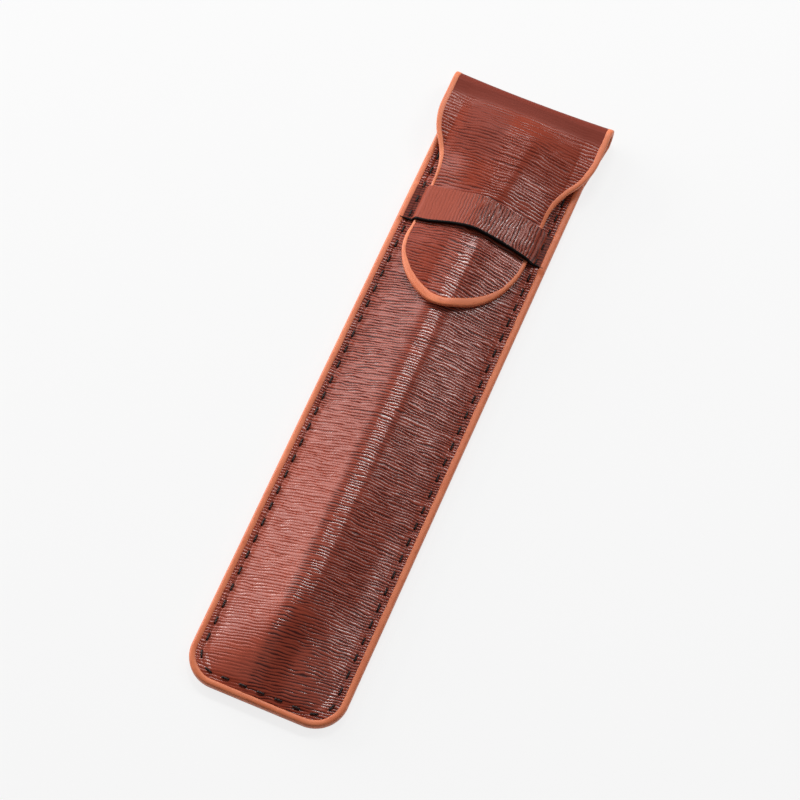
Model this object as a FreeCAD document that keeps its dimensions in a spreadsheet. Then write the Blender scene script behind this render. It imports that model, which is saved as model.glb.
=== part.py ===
"""Single pen sleeve in embossed leather.

The sleeve lies on its back. X runs across it, Y along it with the folded top at +Y, Z is up,
and the origin is on the resting plane under the middle of the sleeve. Lengths are millimetres.
"""
import FreeCAD, Part
import enum
import math
import os

import Sketcher
from FreeCAD import Vector

SIZES = {
    # Body of the sleeve, measured over the painted edge.
    "sleeve_length": 170.0,
    "sleeve_width": 39.0,
    "corner_radius": 8.0,
    "leather": 0.9,
    "lining": 0.3,
    "edge_width": 1.7,
    "edge_round": 1.0,
    # Tent-formed front of the pocket: its ridge, its foot and how it sinks towards the bottom.
    "pocket_rise": 5.6,
    "pocket_half": 14.5,
    "ridge_radius": 3.5,
    "foot_radius": 7.0,
    "sink_start": 31.0,
    "toe_gap": 4.5,
    "toe_rise": 0.4,
    "mouth_drop": 16.0,
    "mouth_band": 0.8,
    # Flap that folds over the mouth and ends in a round tongue.
    "flap_overhang": 1.6,
    "flap_length": 63.0,
    "fold_height": 6.4,
    "shoulder_drop": 9.0,
    "taper_length": 20.0,
    "tongue_width": 29.6,
    "tongue_side_radius": 19.0,
    "tongue_tip_radius": 8.0,
    "flap_band": 1.4,
    "slip": 0.25,
    # Keeper strap across the tongue.
    "keeper_drop": 32.4,
    "keeper_width": 9.6,
    "keeper_band": 0.5,
    "keeper_side": 0.2,
    "keeper_ramp": 0.45,
    # Saddle stitches, sunk in a pressed channel.
    "stitch_inset": 2.95,
    "stitch_top_gap": 4.0,
    "stitch_pitch": 4.4,
    "stitch_length": 2.8,
    "thread": 0.5,
    "channel_width": 1.0,
    "channel_depth": 0.3,
}

# Places worked out from the sizes, as expressions that the document evaluates.
HALF_WIDTH = "(Sizes.sleeve_width / 2)"
PANEL_HALF = "(Sizes.sleeve_width / 2 - Sizes.edge_width)"
FLAP_HALF = "(Sizes.sleeve_width / 2 + Sizes.flap_overhang)"
FOLD_HALF = f"({FLAP_HALF} - Sizes.flap_band)"
TONGUE_HALF = "(Sizes.tongue_width / 2)"
BOTTOM_Y = "(-Sizes.sleeve_length / 2)"
CREST_Y = "(Sizes.sleeve_length / 2)"
FOLD_Y = "(Sizes.sleeve_length / 2 - Sizes.fold_height / 2)"
MOUTH_Y = "(Sizes.sleeve_length / 2 - Sizes.mouth_drop)"
PANEL_TOP_Y = f"({MOUTH_Y} - Sizes.mouth_band)"
TONGUE_Y = f"({CREST_Y} - Sizes.flap_length)"
KEEPER_Y = f"({CREST_Y} - Sizes.keeper_drop)"
PLY = "(Sizes.leather + Sizes.lining)"
FRONT_LEATHER_Z = "(Sizes.leather + 2 * Sizes.lining)"
SEAM_Z = "(2 * Sizes.leather + 2 * Sizes.lining)"
FLAP_Z = f"({SEAM_Z} + Sizes.slip)"
STITCH_X = f"({HALF_WIDTH} - Sizes.stitch_inset)"
# How far cutting shapes reach past what they cut, and the height from which outlines are cut.
OVERCUT = "(2 * Sizes.leather)"
CUT_Z = "(Sizes.sleeve_width)"

# Steps in which the tent sinks towards the toe and the flap rises from the fold to the tent.
SINK_STEPS = 4
FLAP_STEPS = 4


class Spot(enum.IntEnum):
    """Points of a sketch edge that constraints can name."""

    START = 1
    END = 2
    CENTRE = 3


class Axis(enum.IntEnum):
    """Axes of a sketch that constraints can name."""

    ACROSS = -1
    ALONG = -2


ORIGIN = (Axis.ACROSS, Spot.START)


doc = FreeCAD.newDocument("pen_sleeve")
sheet = doc.addObject("Spreadsheet::Sheet", "Sizes")


def fill_sheet():
    """Writes each driving size as a plain number with its alias."""
    for row, (alias, number) in enumerate(SIZES.items(), 1):
        sheet.set(f"A{row}", alias)
        sheet.set(f"B{row}", str(number))
        sheet.setAlias(f"B{row}", alias)
    doc.recompute()


def value(expression):
    """Number that an expression on the sheet gives now."""
    return float(sheet.evalExpression(expression))


def between(first, last, share):
    """Expression for the place at a share of the way from one expression to another."""
    return f"({first} + ({last} - {first}) * {share:.4f})"


def ease(share):
    """Share of a rise that starts and ends level."""
    return (1 - math.cos(math.pi * share)) / 2


# Sketch helpers.


def new_body(label, several=False):
    body = doc.addObject("PartDesign::Body", label)
    body.Label = label
    body.AllowCompound = several
    return body


def new_sketch(body, role, name, offset):
    """Sketch on one of the body's origin planes, moved along that plane's normal."""
    plane = [feature for feature in body.Origin.OriginFeatures if feature.Role == role][0]
    sketch = body.newObject("Sketcher::SketchObject", name)
    sketch.AttachmentSupport = [(plane, "")]
    sketch.MapMode = "FlatFace"
    sketch.setExpression("AttachmentOffset.Base.z", offset)
    return sketch


def flat_sketch(body, name, z):
    return new_sketch(body, "XY_Plane", name, z)


def cross_sketch(body, name, y):
    """Sketch across the sleeve at y: its own axes are X and Z, and its normal is -Y."""
    return new_sketch(body, "XZ_Plane", name, f"-({y})")


def bind(sketch, kind, target, expression):
    """Adds a dimension at its present value and binds it to an expression."""
    index = sketch.addConstraint(Sketcher.Constraint(kind, *target, value(expression)))
    name = f"size_{index}"
    sketch.renameConstraint(index, name)
    sketch.setExpression(f"Constraints.{name}", expression)


def rule(sketch, kind, *target):
    sketch.addConstraint(Sketcher.Constraint(kind, *target))


def pin(sketch, edge, end, x, y):
    bind(sketch, "DistanceX", (*ORIGIN, edge, end), x)
    bind(sketch, "DistanceY", (*ORIGIN, edge, end), y)


def add_line(sketch, first, second):
    return sketch.addGeometry(Part.LineSegment(Vector(*first, 0), Vector(*second, 0)))


def add_arc(sketch, centre, radius, first, last):
    """Arc that turns anticlockwise between two angles in degrees."""
    circle = Part.Circle(Vector(*centre, 0), Vector(0, 0, 1), radius)
    return sketch.addGeometry(Part.ArcOfCircle(circle, math.radians(first), math.radians(last)))


def pinned_lines(sketch, corners, before, after):
    """Lines through pinned corners, from the end of one edge to the end of another."""
    points = [(value(x), value(y)) for x, y in corners]
    edges = []
    for first, second in zip(points, points[1:]):
        edges.append(add_line(sketch, first, second))
    for edge, (x, y) in zip(edges, corners[1:-1]):
        pin(sketch, edge, Spot.END, x, y)
    for edge, following in zip(edges, edges[1:]):
        rule(sketch, "Coincident", edge, Spot.END, following, Spot.START)
    rule(sketch, "Coincident", *before, edges[0], Spot.START)
    rule(sketch, "Coincident", edges[-1], Spot.END, *after)


def polygon(sketch, corners):
    """Closed outline through pinned corners."""
    points = [(value(x), value(y)) for x, y in corners]
    edges = []
    for first, second in zip(points, points[1:] + points[:1]):
        edges.append(add_line(sketch, first, second))
    for edge, following in zip(edges, edges[1:] + edges[:1]):
        rule(sketch, "Coincident", edge, Spot.END, following, Spot.START)
    for edge, (x, y) in zip(edges, corners):
        pin(sketch, edge, Spot.START, x, y)


def u_chain(sketch, inset, top):
    """Left side, round corner, bottom, round corner and right side, inset from the outer edge."""
    half_text = f"({HALF_WIDTH} - {inset})"
    bottom_text = f"({BOTTOM_Y} + {inset})"
    radius_text = f"(Sizes.corner_radius - {inset})"
    half, bottom, radius, head = (value(text) for text in (half_text, bottom_text, radius_text, top))
    bend = bottom + radius
    left = add_line(sketch, (-half, head), (-half, bend))
    left_arc = add_arc(sketch, (radius - half, bend), radius, 180, 270)
    base = add_line(sketch, (radius - half, bottom), (half - radius, bottom))
    right_arc = add_arc(sketch, (half - radius, bend), radius, 270, 360)
    right = add_line(sketch, (half, bend), (half, head))
    edges = [left, left_arc, base, right_arc, right]
    for edge, following in zip(edges, edges[1:]):
        rule(sketch, "Tangent", edge, Spot.END, following, Spot.START)
    rule(sketch, "Vertical", left)
    rule(sketch, "Horizontal", base)
    rule(sketch, "Vertical", right)
    rule(sketch, "Equal", left_arc, right_arc)
    bind(sketch, "Radius", (left_arc,), radius_text)
    bind(sketch, "DistanceY", (*ORIGIN, base, Spot.START), bottom_text)
    pin(sketch, left, Spot.START, f"-{half_text}", top)
    pin(sketch, right, Spot.END, half_text, top)
    return left, right


def u_plate(sketch, inset, top, crown=()):
    """Closed plate outline with round bottom corners; crown lists corners past the top right."""
    left, right = u_chain(sketch, inset, top)
    half = f"({HALF_WIDTH} - {inset})"
    corners = [(half, top), *crown, (f"-{half}", top)]
    pinned_lines(sketch, corners, (right, Spot.END), (left, Spot.START))


def u_band(sketch, outer_inset, inner_inset, top):
    """Closed U-shaped band between two insets, open at the top."""
    outer_left, outer_right = u_chain(sketch, outer_inset, top)
    inner_left, inner_right = u_chain(sketch, inner_inset, top)
    ends = ((outer_left, inner_left, Spot.START, -1), (outer_right, inner_right, Spot.END, 1))
    for outer, inner, end, side in ends:
        outer_x = side * value(f"{HALF_WIDTH} - {outer_inset}")
        inner_x = side * value(f"{HALF_WIDTH} - {inner_inset}")
        cap = add_line(sketch, (outer_x, value(top)), (inner_x, value(top)))
        rule(sketch, "Coincident", outer, end, cap, Spot.START)
        rule(sketch, "Coincident", inner, end, cap, Spot.END)


def tent_chain(sketch, half_text, base_text, rise_text, foot_text, crest_text):
    """Foot arc, flank, ridge arc, flank and foot arc, from the left foot to the right one."""
    half, base, rise, foot, crest = (
        value(text) for text in (half_text, base_text, rise_text, foot_text, crest_text)
    )
    reach = foot + crest
    lean = math.asin(reach / math.hypot(half, reach - rise)) - math.atan2(reach - rise, half)
    slope = math.degrees(lean)
    foot_in = half - foot * math.sin(lean)
    foot_up = base + foot * (1 - math.cos(lean))
    crest_out = crest * math.sin(lean)
    crest_centre = base + rise - crest
    crest_up = crest_centre + crest * math.cos(lean)
    left_foot = add_arc(sketch, (-half, base + foot), foot, -90, slope - 90)
    left_flank = add_line(sketch, (-foot_in, foot_up), (-crest_out, crest_up))
    ridge = add_arc(sketch, (0, crest_centre), crest, 90 - slope, 90 + slope)
    right_flank = add_line(sketch, (crest_out, crest_up), (foot_in, foot_up))
    right_foot = add_arc(sketch, (half, base + foot), foot, -90 - slope, -90)
    rule(sketch, "Tangent", left_foot, Spot.END, left_flank, Spot.START)
    rule(sketch, "Tangent", left_flank, Spot.END, ridge, Spot.END)
    rule(sketch, "Tangent", ridge, Spot.START, right_flank, Spot.START)
    rule(sketch, "Tangent", right_flank, Spot.END, right_foot, Spot.START)
    rule(sketch, "Vertical", left_foot, Spot.CENTRE, left_foot, Spot.START)
    rule(sketch, "Vertical", right_foot, Spot.CENTRE, right_foot, Spot.END)
    rule(sketch, "PointOnObject", ridge, Spot.CENTRE, Axis.ALONG)
    rule(sketch, "Equal", left_foot, right_foot)
    bind(sketch, "Radius", (left_foot,), foot_text)
    bind(sketch, "Radius", (ridge,), crest_text)
    bind(sketch, "DistanceY", (*ORIGIN, ridge, Spot.CENTRE), f"{base_text} + {rise_text} - {crest_text}")
    pin(sketch, left_foot, Spot.START, f"-{half_text}", base_text)
    pin(sketch, right_foot, Spot.END, half_text, base_text)
    return left_foot, right_foot


def hill(body, name, y, base, rise, offset, root):
    """Tent section rooted below z = base, offset outwards from the inner face of the lining."""
    sketch = cross_sketch(body, name, y)
    foot = f"(Sizes.foot_radius + {PLY} - {offset})"
    crest = f"(Sizes.ridge_radius - {PLY} + {offset})"
    left, right = tent_chain(sketch, "Sizes.pocket_half", base, rise, foot, crest)
    side = [("Sizes.pocket_half", base), ("Sizes.pocket_half", f"({base} - {root})")]
    corners = side + [(f"-{x}", z) for x, z in reversed(side)]
    pinned_lines(sketch, corners, (right, Spot.END), (left, Spot.START))
    return sketch


def arch(body, name, y, rim, rise, foot, crest, floor):
    """Section under a tent that has a rim on each side; the last rim corner is level with the foot."""
    sketch = cross_sketch(body, name, y)
    base = rim[-1][1]
    left, right = tent_chain(sketch, "Sizes.pocket_half", base, rise, foot, crest)
    right_side = [("Sizes.pocket_half", base), *reversed(rim), (rim[0][0], floor)]
    left_side = [(f"-{x}", z) for x, z in reversed(right_side)]
    pinned_lines(sketch, right_side + left_side, (right, Spot.END), (left, Spot.START))
    return sketch


# Feature helpers.


def set_up(feature, body, length):
    feature.setExpression("Length", length)
    body.Tip = feature
    return feature


def pad(body, sketch, length, name):
    feature = body.newObject("PartDesign::Pad", name)
    feature.Profile = sketch
    return set_up(feature, body, length)


def pocket(body, sketch, length, name, reverse=False):
    feature = body.newObject("PartDesign::Pocket", name)
    feature.Profile = sketch
    feature.Reversed = reverse
    return set_up(feature, body, length)


def loft(body, sections, kind, name):
    feature = body.newObject(f"PartDesign::{kind}Loft", name)
    feature.Profile = sections[0]
    feature.Sections = sections[1:]
    feature.Ruled = True
    body.Tip = feature
    return feature


# Back of the sleeve.


def back_plate(label, z, thickness):
    """Back ply: it runs from the bottom to the fold and widens past the mouth to meet it."""
    body = new_body(label)
    sketch = flat_sketch(body, f"{label}_outline", z)
    crown = [(FOLD_HALF, FOLD_Y), (f"-{FOLD_HALF}", FOLD_Y)]
    u_plate(sketch, "Sizes.edge_width", MOUTH_Y, crown)
    pad(body, sketch, thickness, f"{label}_ply")
    return body


def stitch_channel(body, z, reverse):
    """Shallow channel under the line of stitches, pressed in from the face at z."""
    sketch = flat_sketch(body, f"{body.Label}_channel_outline", z)
    half = "Sizes.channel_width / 2"
    outer = f"(Sizes.stitch_inset - {half})"
    inner = f"(Sizes.stitch_inset + {half})"
    u_band(sketch, outer, inner, f"({MOUTH_Y} - Sizes.stitch_top_gap)")
    pocket(body, sketch, "Sizes.channel_depth", f"{body.Label}_channel", reverse)


def back_panel():
    body = back_plate("back_panel", "0", "Sizes.leather")
    stitch_channel(body, "0", True)
    return body


def back_lining():
    return back_plate("back_lining", "Sizes.leather", "Sizes.lining")


def back_edges():
    """Painted edges of the bare back between the mouth and the fold, one on each side."""
    body = new_body("back_edges", several=True)
    sketch = flat_sketch(body, "back_edges_outline", "0")
    for sign in ("", "-"):
        polygon(sketch, [
            (f"{sign}{PANEL_HALF}", MOUTH_Y),
            (f"{sign}{HALF_WIDTH}", MOUTH_Y),
            (f"{sign}{FLAP_HALF}", FOLD_Y),
            (f"{sign}{FOLD_HALF}", FOLD_Y),
        ])
    pad(body, sketch, PLY, "back_edges_bead")
    return body


def edge_inset(point):
    """Distance of a point of the plan inside the sleeve's outer edge."""
    radius = value("Sizes.corner_radius")
    from_side = value(HALF_WIDTH) - abs(point.x)
    from_bottom = point.y - value(BOTTOM_Y)
    if from_side < radius and from_bottom < radius:
        return radius - math.hypot(radius - from_side, radius - from_bottom)
    return min(from_side, from_bottom)


def body_edge():
    """Painted, rounded edge round the sewn plies, from one end of the mouth to the other."""
    body = new_body("body_edge")
    sketch = flat_sketch(body, "body_edge_outline", "0")
    u_band(sketch, "0", "Sizes.edge_width", MOUTH_Y)
    bead = pad(body, sketch, SEAM_Z, "body_edge_bead")
    doc.recompute()
    outer = []
    for number, edge in enumerate(bead.Shape.Edges, 1):
        middle = edge.valueAt((edge.FirstParameter + edge.LastParameter) / 2)
        level = abs(edge.Vertexes[0].Z - edge.Vertexes[-1].Z) < 0.01
        if level and edge_inset(middle) < 0.01:
            outer.append(f"Edge{number}")
    rounding = body.newObject("PartDesign::Fillet", "body_edge_rounding")
    rounding.Base = (bead, outer)
    rounding.setExpression("Radius", f"min(Sizes.edge_round; 0.45 * {SEAM_Z}; 0.9 * Sizes.edge_width)")
    body.Tip = rounding
    return body


# Front of the sleeve.


def pocket_sections(body, base, offset, root):
    """Tent sections from the mouth down to the toe, where the ridge has sunk into the panel."""
    stations = [(PANEL_TOP_Y, "Sizes.pocket_rise")]
    for step in range(SINK_STEPS + 1):
        y = between(f"({BOTTOM_Y} + Sizes.sink_start)", f"({BOTTOM_Y} + Sizes.toe_gap)", step / SINK_STEPS)
        rise = between("Sizes.pocket_rise", "Sizes.toe_rise", ease(step / SINK_STEPS))
        stations.append((y, rise))
    sections = []
    for number, (y, rise) in enumerate(stations):
        name = f"{body.Label}_{offset_name(offset)}_{number}"
        sections.append(hill(body, name, y, base, rise, offset, root))
    return sections


def offset_name(offset):
    return {"0": "inside", "Sizes.lining": "middle", PLY: "outside"}[offset]


def front_plate(label, z, thickness, inner_offset, outer_offset):
    """Front ply: a flat sewn margin with the tent raised from it."""
    body = new_body(label)
    sketch = flat_sketch(body, f"{label}_outline", z)
    u_plate(sketch, "Sizes.edge_width", PANEL_TOP_Y)
    pad(body, sketch, thickness, f"{label}_margin")
    outer = pocket_sections(body, f"({z} + {thickness})", outer_offset, f"({thickness} / 2)")
    loft(body, outer, "Additive", f"{label}_tent")
    inner = pocket_sections(body, z, inner_offset, OVERCUT)
    loft(body, inner, "Subtractive", f"{label}_hollow")
    return body


def front_panel():
    body = front_plate("front_panel", FRONT_LEATHER_Z, "Sizes.leather", "Sizes.lining", PLY)
    stitch_channel(body, SEAM_Z, False)
    return body


def front_lining():
    return front_plate("front_lining", PLY, "Sizes.lining", "0", "Sizes.lining")


def mouth_edge():
    """Painted edge along the mouth of the pocket, through both front plies."""
    body = new_body("mouth_edge")
    strip = cross_sketch(body, "mouth_edge_margin_outline", MOUTH_Y)
    polygon(strip, [
        (f"-{PANEL_HALF}", PLY),
        (PANEL_HALF, PLY),
        (PANEL_HALF, SEAM_Z),
        (f"-{PANEL_HALF}", SEAM_Z),
    ])
    pad(body, strip, "Sizes.mouth_band", "mouth_edge_margin")
    outside = hill(body, "mouth_edge_outside", MOUTH_Y, SEAM_Z, "Sizes.pocket_rise", PLY, "Sizes.lining")
    pad(body, outside, "Sizes.mouth_band", "mouth_edge_tent")
    inside = hill(body, "mouth_edge_inside", MOUTH_Y, PLY, "Sizes.pocket_rise", "0", OVERCUT)
    pocket(body, inside, "Sizes.mouth_band", "mouth_edge_hollow", True)
    return body


# Keeper strap.

KEEPER_SHELF_Z = f"({FLAP_Z} + {PLY} + Sizes.slip)"
RAMP_IN = f"({TONGUE_HALF} + Sizes.keeper_side)"
RAMP_OUT = f"({RAMP_IN} + Sizes.keeper_ramp)"
RAMP_RISE = f"({KEEPER_SHELF_Z} - {SEAM_Z})"
RAMP_LEAN = f"((sqrt(Sizes.keeper_ramp ^ 2 + {RAMP_RISE} ^ 2) - Sizes.keeper_ramp) / {RAMP_RISE})"


def keeper_arch(body, name, y, lift, reach, floor):
    """Section under the strap's face that is lifted by one thickness above its underside."""
    rim = [
        (f"({PANEL_HALF} + {reach})", f"({SEAM_Z} + {lift})"),
        (f"({RAMP_OUT} + {RAMP_LEAN} * {lift})", f"({SEAM_Z} + {lift})"),
        (f"({RAMP_IN} + {RAMP_LEAN} * {lift})", f"({KEEPER_SHELF_Z} + {lift})"),
    ]
    gap = f"({KEEPER_SHELF_Z} - {SEAM_Z} + {lift})"
    foot = f"(Sizes.foot_radius - {gap})"
    crest = f"(Sizes.ridge_radius + {gap})"
    return arch(body, name, y, rim, "Sizes.pocket_rise", foot, crest, floor)


def keeper_strip(body, name, y, length):
    """One stretch of the strap: the arch over the tongue, hollowed from below."""
    upper = keeper_arch(body, f"{name}_upper", y, "Sizes.leather", "0", PLY)
    pad(body, upper, length, f"{name}_arch")
    lower = keeper_arch(body, f"{name}_lower", y, "0", OVERCUT, "0")
    pocket(body, lower, length, f"{name}_hollow", True)


def keeper_strap():
    body = new_body("keeper_strap")
    length = "(Sizes.keeper_width - 2 * Sizes.keeper_band)"
    keeper_strip(body, "keeper_strap", f"({KEEPER_Y} - Sizes.keeper_band)", length)
    return body


def keeper_edges():
    """Dark cut edges along the strap's two long sides."""
    body = new_body("keeper_edges", several=True)
    keeper_strip(body, "keeper_edges_top", KEEPER_Y, "Sizes.keeper_band")
    low = f"({KEEPER_Y} - Sizes.keeper_width + Sizes.keeper_band)"
    keeper_strip(body, "keeper_edges_low", low, "Sizes.keeper_band")
    return body


def keeper_ends():
    """Painted ends of the strap, one on each side, standing on the body's edge."""
    body = new_body("keeper_ends", several=True)
    sketch = flat_sketch(body, "keeper_ends_outline", SEAM_Z)
    outer = f"({HALF_WIDTH} - min(Sizes.edge_round; 0.45 * {SEAM_Z}; 0.9 * Sizes.edge_width))"
    for sign in ("", "-"):
        polygon(sketch, [
            (f"{sign}{PANEL_HALF}", f"({KEEPER_Y} - Sizes.keeper_width)"),
            (f"{sign}{outer}", f"({KEEPER_Y} - Sizes.keeper_width)"),
            (f"{sign}{outer}", KEEPER_Y),
            (f"{sign}{PANEL_HALF}", KEEPER_Y),
        ])
    pad(body, sketch, "Sizes.leather", "keeper_ends_bead")
    return body


# Fold and flap.


def half_ring(body, name, x, inner, outer):
    """Half ring of the fold, open towards the sleeve, in a plane across X."""
    sketch = new_sketch(body, "YZ_Plane", name, x)
    y, z = value(FOLD_Y), value("Sizes.fold_height / 2")
    small, large = value(inner), value(outer)
    outside = add_arc(sketch, (y, z), large, -90, 90)
    inside = add_arc(sketch, (y, z), small, -90, 90)
    low = add_line(sketch, (y, z - large), (y, z - small))
    high = add_line(sketch, (y, z + large), (y, z + small))
    rule(sketch, "Coincident", outside, Spot.CENTRE, inside, Spot.CENTRE)
    for line, end in ((low, Spot.START), (high, Spot.END)):
        rule(sketch, "Coincident", outside, end, line, Spot.START)
        rule(sketch, "Coincident", inside, end, line, Spot.END)
        rule(sketch, "Vertical", line)
        rule(sketch, "Vertical", outside, Spot.CENTRE, outside, end)
    pin(sketch, outside, Spot.CENTRE, FOLD_Y, "Sizes.fold_height / 2")
    bind(sketch, "Radius", (outside,), outer)
    bind(sketch, "Radius", (inside,), inner)
    return sketch


FOLD_OUTER = "(Sizes.fold_height / 2)"
FOLD_MIDDLE = "(Sizes.fold_height / 2 - Sizes.leather)"
FOLD_INNER = f"(Sizes.fold_height / 2 - {PLY})"


def fold_ply(label, inner, outer):
    body = new_body(label)
    sketch = half_ring(body, f"{label}_section", f"-{FOLD_HALF}", inner, outer)
    pad(body, sketch, f"(2 * {FOLD_HALF})", f"{label}_ply")
    return body


def fold_edges():
    """Painted ends of the fold, one on each side."""
    body = new_body("fold_edges", several=True)
    for side, x in (("left", f"-{FLAP_HALF}"), ("right", FOLD_HALF)):
        sketch = half_ring(body, f"fold_edges_{side}_section", x, FOLD_INNER, FOLD_OUTER)
        pad(body, sketch, "Sizes.flap_band", f"fold_edges_{side}")
    return body


def flap_sections(body, name, lift, reach, floor):
    """Sections under one face of the flap, lifted above its underside, from the fold to the tongue."""
    fold_z = f"(Sizes.fold_height - {PLY})"
    stations = []
    for step in range(FLAP_STEPS + 1):
        share = step / FLAP_STEPS
        base = between(fold_z, FLAP_Z, ease(share))
        rise = between("Sizes.toe_rise", "Sizes.pocket_rise", ease(share))
        stations.append((between(FOLD_Y, MOUTH_Y, share), base, rise))
    stations.append((f"({TONGUE_Y} - {OVERCUT})", FLAP_Z, "Sizes.pocket_rise"))
    foot = f"(Sizes.foot_radius - Sizes.slip - {lift})"
    crest = f"(Sizes.ridge_radius + Sizes.slip + {lift})"
    sections = []
    for number, (y, base, rise) in enumerate(stations):
        rim = [(f"({FLAP_HALF} + {reach})", f"({base} + {lift})")]
        sections.append(arch(body, f"{name}_{number}", y, rim, rise, foot, crest, floor))
    return sections


def flap_outline(sketch, inset):
    """Wide shoulders, an S-shaped taper on each side and a tongue that rounds in to its tip."""
    half_text = f"({FLAP_HALF} - {inset})"
    tongue_text = f"({TONGUE_HALF} - {inset})"
    top_text = f"({FOLD_Y} + {OVERCUT})"
    shoulder_text = f"({CREST_Y} - Sizes.shoulder_drop)"
    tip_text = f"({TONGUE_Y} + Sizes.tongue_tip_radius)"
    narrowing = f"({FLAP_HALF} - {TONGUE_HALF})"
    bend_text = f"((Sizes.taper_length ^ 2 + {narrowing} ^ 2) / (4 * {narrowing}))"
    half, tongue, top, shoulder = (value(text) for text in (half_text, tongue_text, top_text, shoulder_text))
    tip_y, bend = (value(text) for text in (tip_text, bend_text))
    waist = shoulder - value("Sizes.taper_length")
    convex = bend - value(inset)
    concave = bend + value(inset)
    turn = 2 * math.degrees(math.atan2(half - tongue, shoulder - waist))
    flank = value("Sizes.tongue_side_radius") - value(inset)
    tip = value("Sizes.tongue_tip_radius") - value(inset)
    drop = math.sqrt((flank - tip) ** 2 - (flank - tongue) ** 2)
    sweep = math.degrees(math.atan2(drop, flank - tongue))
    head = add_line(sketch, (-half, top), (half, top))
    sides = []
    for sign in (1, -1):
        upper = add_line(sketch, (sign * half, top), (sign * half, shoulder))
        lower = add_line(sketch, (sign * tongue, waist), (sign * tongue, tip_y + drop))
        if sign > 0:
            bulge = add_arc(sketch, (half - convex, shoulder), convex, -turn, 0)
            hollow = add_arc(sketch, (tongue + concave, waist), concave, 180 - turn, 180)
            round_in = add_arc(sketch, (tongue - flank, tip_y + drop), flank, -sweep, 0)
            near, far = Spot.END, Spot.START
        else:
            bulge = add_arc(sketch, (convex - half, shoulder), convex, 180, 180 + turn)
            hollow = add_arc(sketch, (-tongue - concave, waist), concave, 0, turn)
            round_in = add_arc(sketch, (flank - tongue, tip_y + drop), flank, 180, 180 + sweep)
            near, far = Spot.START, Spot.END
        rule(sketch, "Tangent", upper, Spot.END, bulge, near)
        rule(sketch, "Tangent", bulge, far, hollow, far)
        rule(sketch, "Tangent", hollow, near, lower, Spot.START)
        rule(sketch, "Tangent", lower, Spot.END, round_in, near)
        rule(sketch, "Vertical", upper)
        rule(sketch, "Vertical", lower)
        bind(sketch, "Radius", (bulge,), f"{bend_text} - {inset}")
        bind(sketch, "Radius", (round_in,), f"(Sizes.tongue_side_radius - {inset})")
        bind(sketch, "DistanceY", (*ORIGIN, upper, Spot.END), shoulder_text)
        side_text = tongue_text if sign > 0 else f"-{tongue_text}"
        bind(sketch, "DistanceX", (*ORIGIN, lower, Spot.START), side_text)
        sides.append((upper, round_in))
    end = add_arc(sketch, (0, tip_y), tip, 180 + sweep, 360 - sweep)
    (right_upper, right_round), (left_upper, left_round) = sides
    rule(sketch, "Tangent", right_round, Spot.START, end, Spot.END)
    rule(sketch, "Tangent", left_round, Spot.END, end, Spot.START)
    rule(sketch, "PointOnObject", end, Spot.CENTRE, Axis.ALONG)
    bind(sketch, "Radius", (end,), f"(Sizes.tongue_tip_radius - {inset})")
    bind(sketch, "DistanceY", (*ORIGIN, end, Spot.CENTRE), tip_text)
    rule(sketch, "Coincident", head, Spot.START, left_upper, Spot.START)
    rule(sketch, "Coincident", head, Spot.END, right_upper, Spot.START)
    pin(sketch, head, Spot.START, f"-{half_text}", top_text)
    pin(sketch, head, Spot.END, half_text, top_text)


def trim_outside(body, name, inset):
    """Cuts away what lies outside the flap's outline."""
    sketch = flat_sketch(body, f"{name}_outline", CUT_Z)
    flap_outline(sketch, inset)
    far = f"(2 * {FLAP_HALF})"
    polygon(sketch, [
        (f"-{far}", f"({TONGUE_Y} - {far})"),
        (far, f"({TONGUE_Y} - {far})"),
        (far, f"({CREST_Y} + {far})"),
        (f"-{far}", f"({CREST_Y} + {far})"),
    ])
    pocket(body, sketch, f"(2 * {CUT_Z})", f"{name}_trim")


def flap_ply(label, low, high):
    """One ply of the flap between two lifts above its underside, inside the painted edge."""
    body = new_body(label)
    loft(body, flap_sections(body, f"{label}_upper", high, OVERCUT, "0"), "Additive", f"{label}_form")
    under = flap_sections(body, f"{label}_lower", low, f"(2 * {OVERCUT})", f"(-{OVERCUT})")
    loft(body, under, "Subtractive", f"{label}_hollow")
    trim_outside(body, label, "Sizes.flap_band")
    return body


def flap_edge():
    """Painted edge round the flap, through both plies."""
    body = new_body("flap_edge")
    loft(body, flap_sections(body, "flap_edge_upper", PLY, OVERCUT, "0"), "Additive", "flap_edge_form")
    under = flap_sections(body, "flap_edge_lower", "0", f"(2 * {OVERCUT})", f"(-{OVERCUT})")
    loft(body, under, "Subtractive", "flap_edge_hollow")
    trim_outside(body, "flap_edge", "0")
    inner = flat_sketch(body, "flap_edge_inner_outline", CUT_Z)
    flap_outline(inner, "Sizes.flap_band")
    pocket(body, inner, f"(2 * {CUT_Z})", "flap_edge_inner_trim")
    return body


# Stitches.


def stitch_places():
    """Middle and direction of each stitch along the U-shaped seam, even about its lowest point."""
    half = value(STITCH_X)
    bottom = value(f"{BOTTOM_Y} + Sizes.stitch_inset")
    radius = value("Sizes.corner_radius - Sizes.stitch_inset")
    top = value(f"{MOUTH_Y} - Sizes.stitch_top_gap")
    flat = half - radius
    corner = radius * math.pi / 2
    side = top - bottom - radius
    pitch = value("Sizes.stitch_pitch")
    reach = flat + corner + side - value("Sizes.stitch_length") / 2
    count = int(reach / pitch)
    places = []
    for number in range(-count, count + 1):
        run = abs(number) * pitch
        sign = 1 if number >= 0 else -1
        if run <= flat:
            x, y, angle = run, bottom, 0.0
        elif run <= flat + corner:
            angle = (run - flat) / radius
            x = flat + radius * math.sin(angle)
            y = bottom + radius * (1 - math.cos(angle))
        else:
            x, y, angle = half, bottom + radius + run - flat - corner, math.pi / 2
        places.append((sign * x, y, sign * math.degrees(angle)))
    return places


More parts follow.
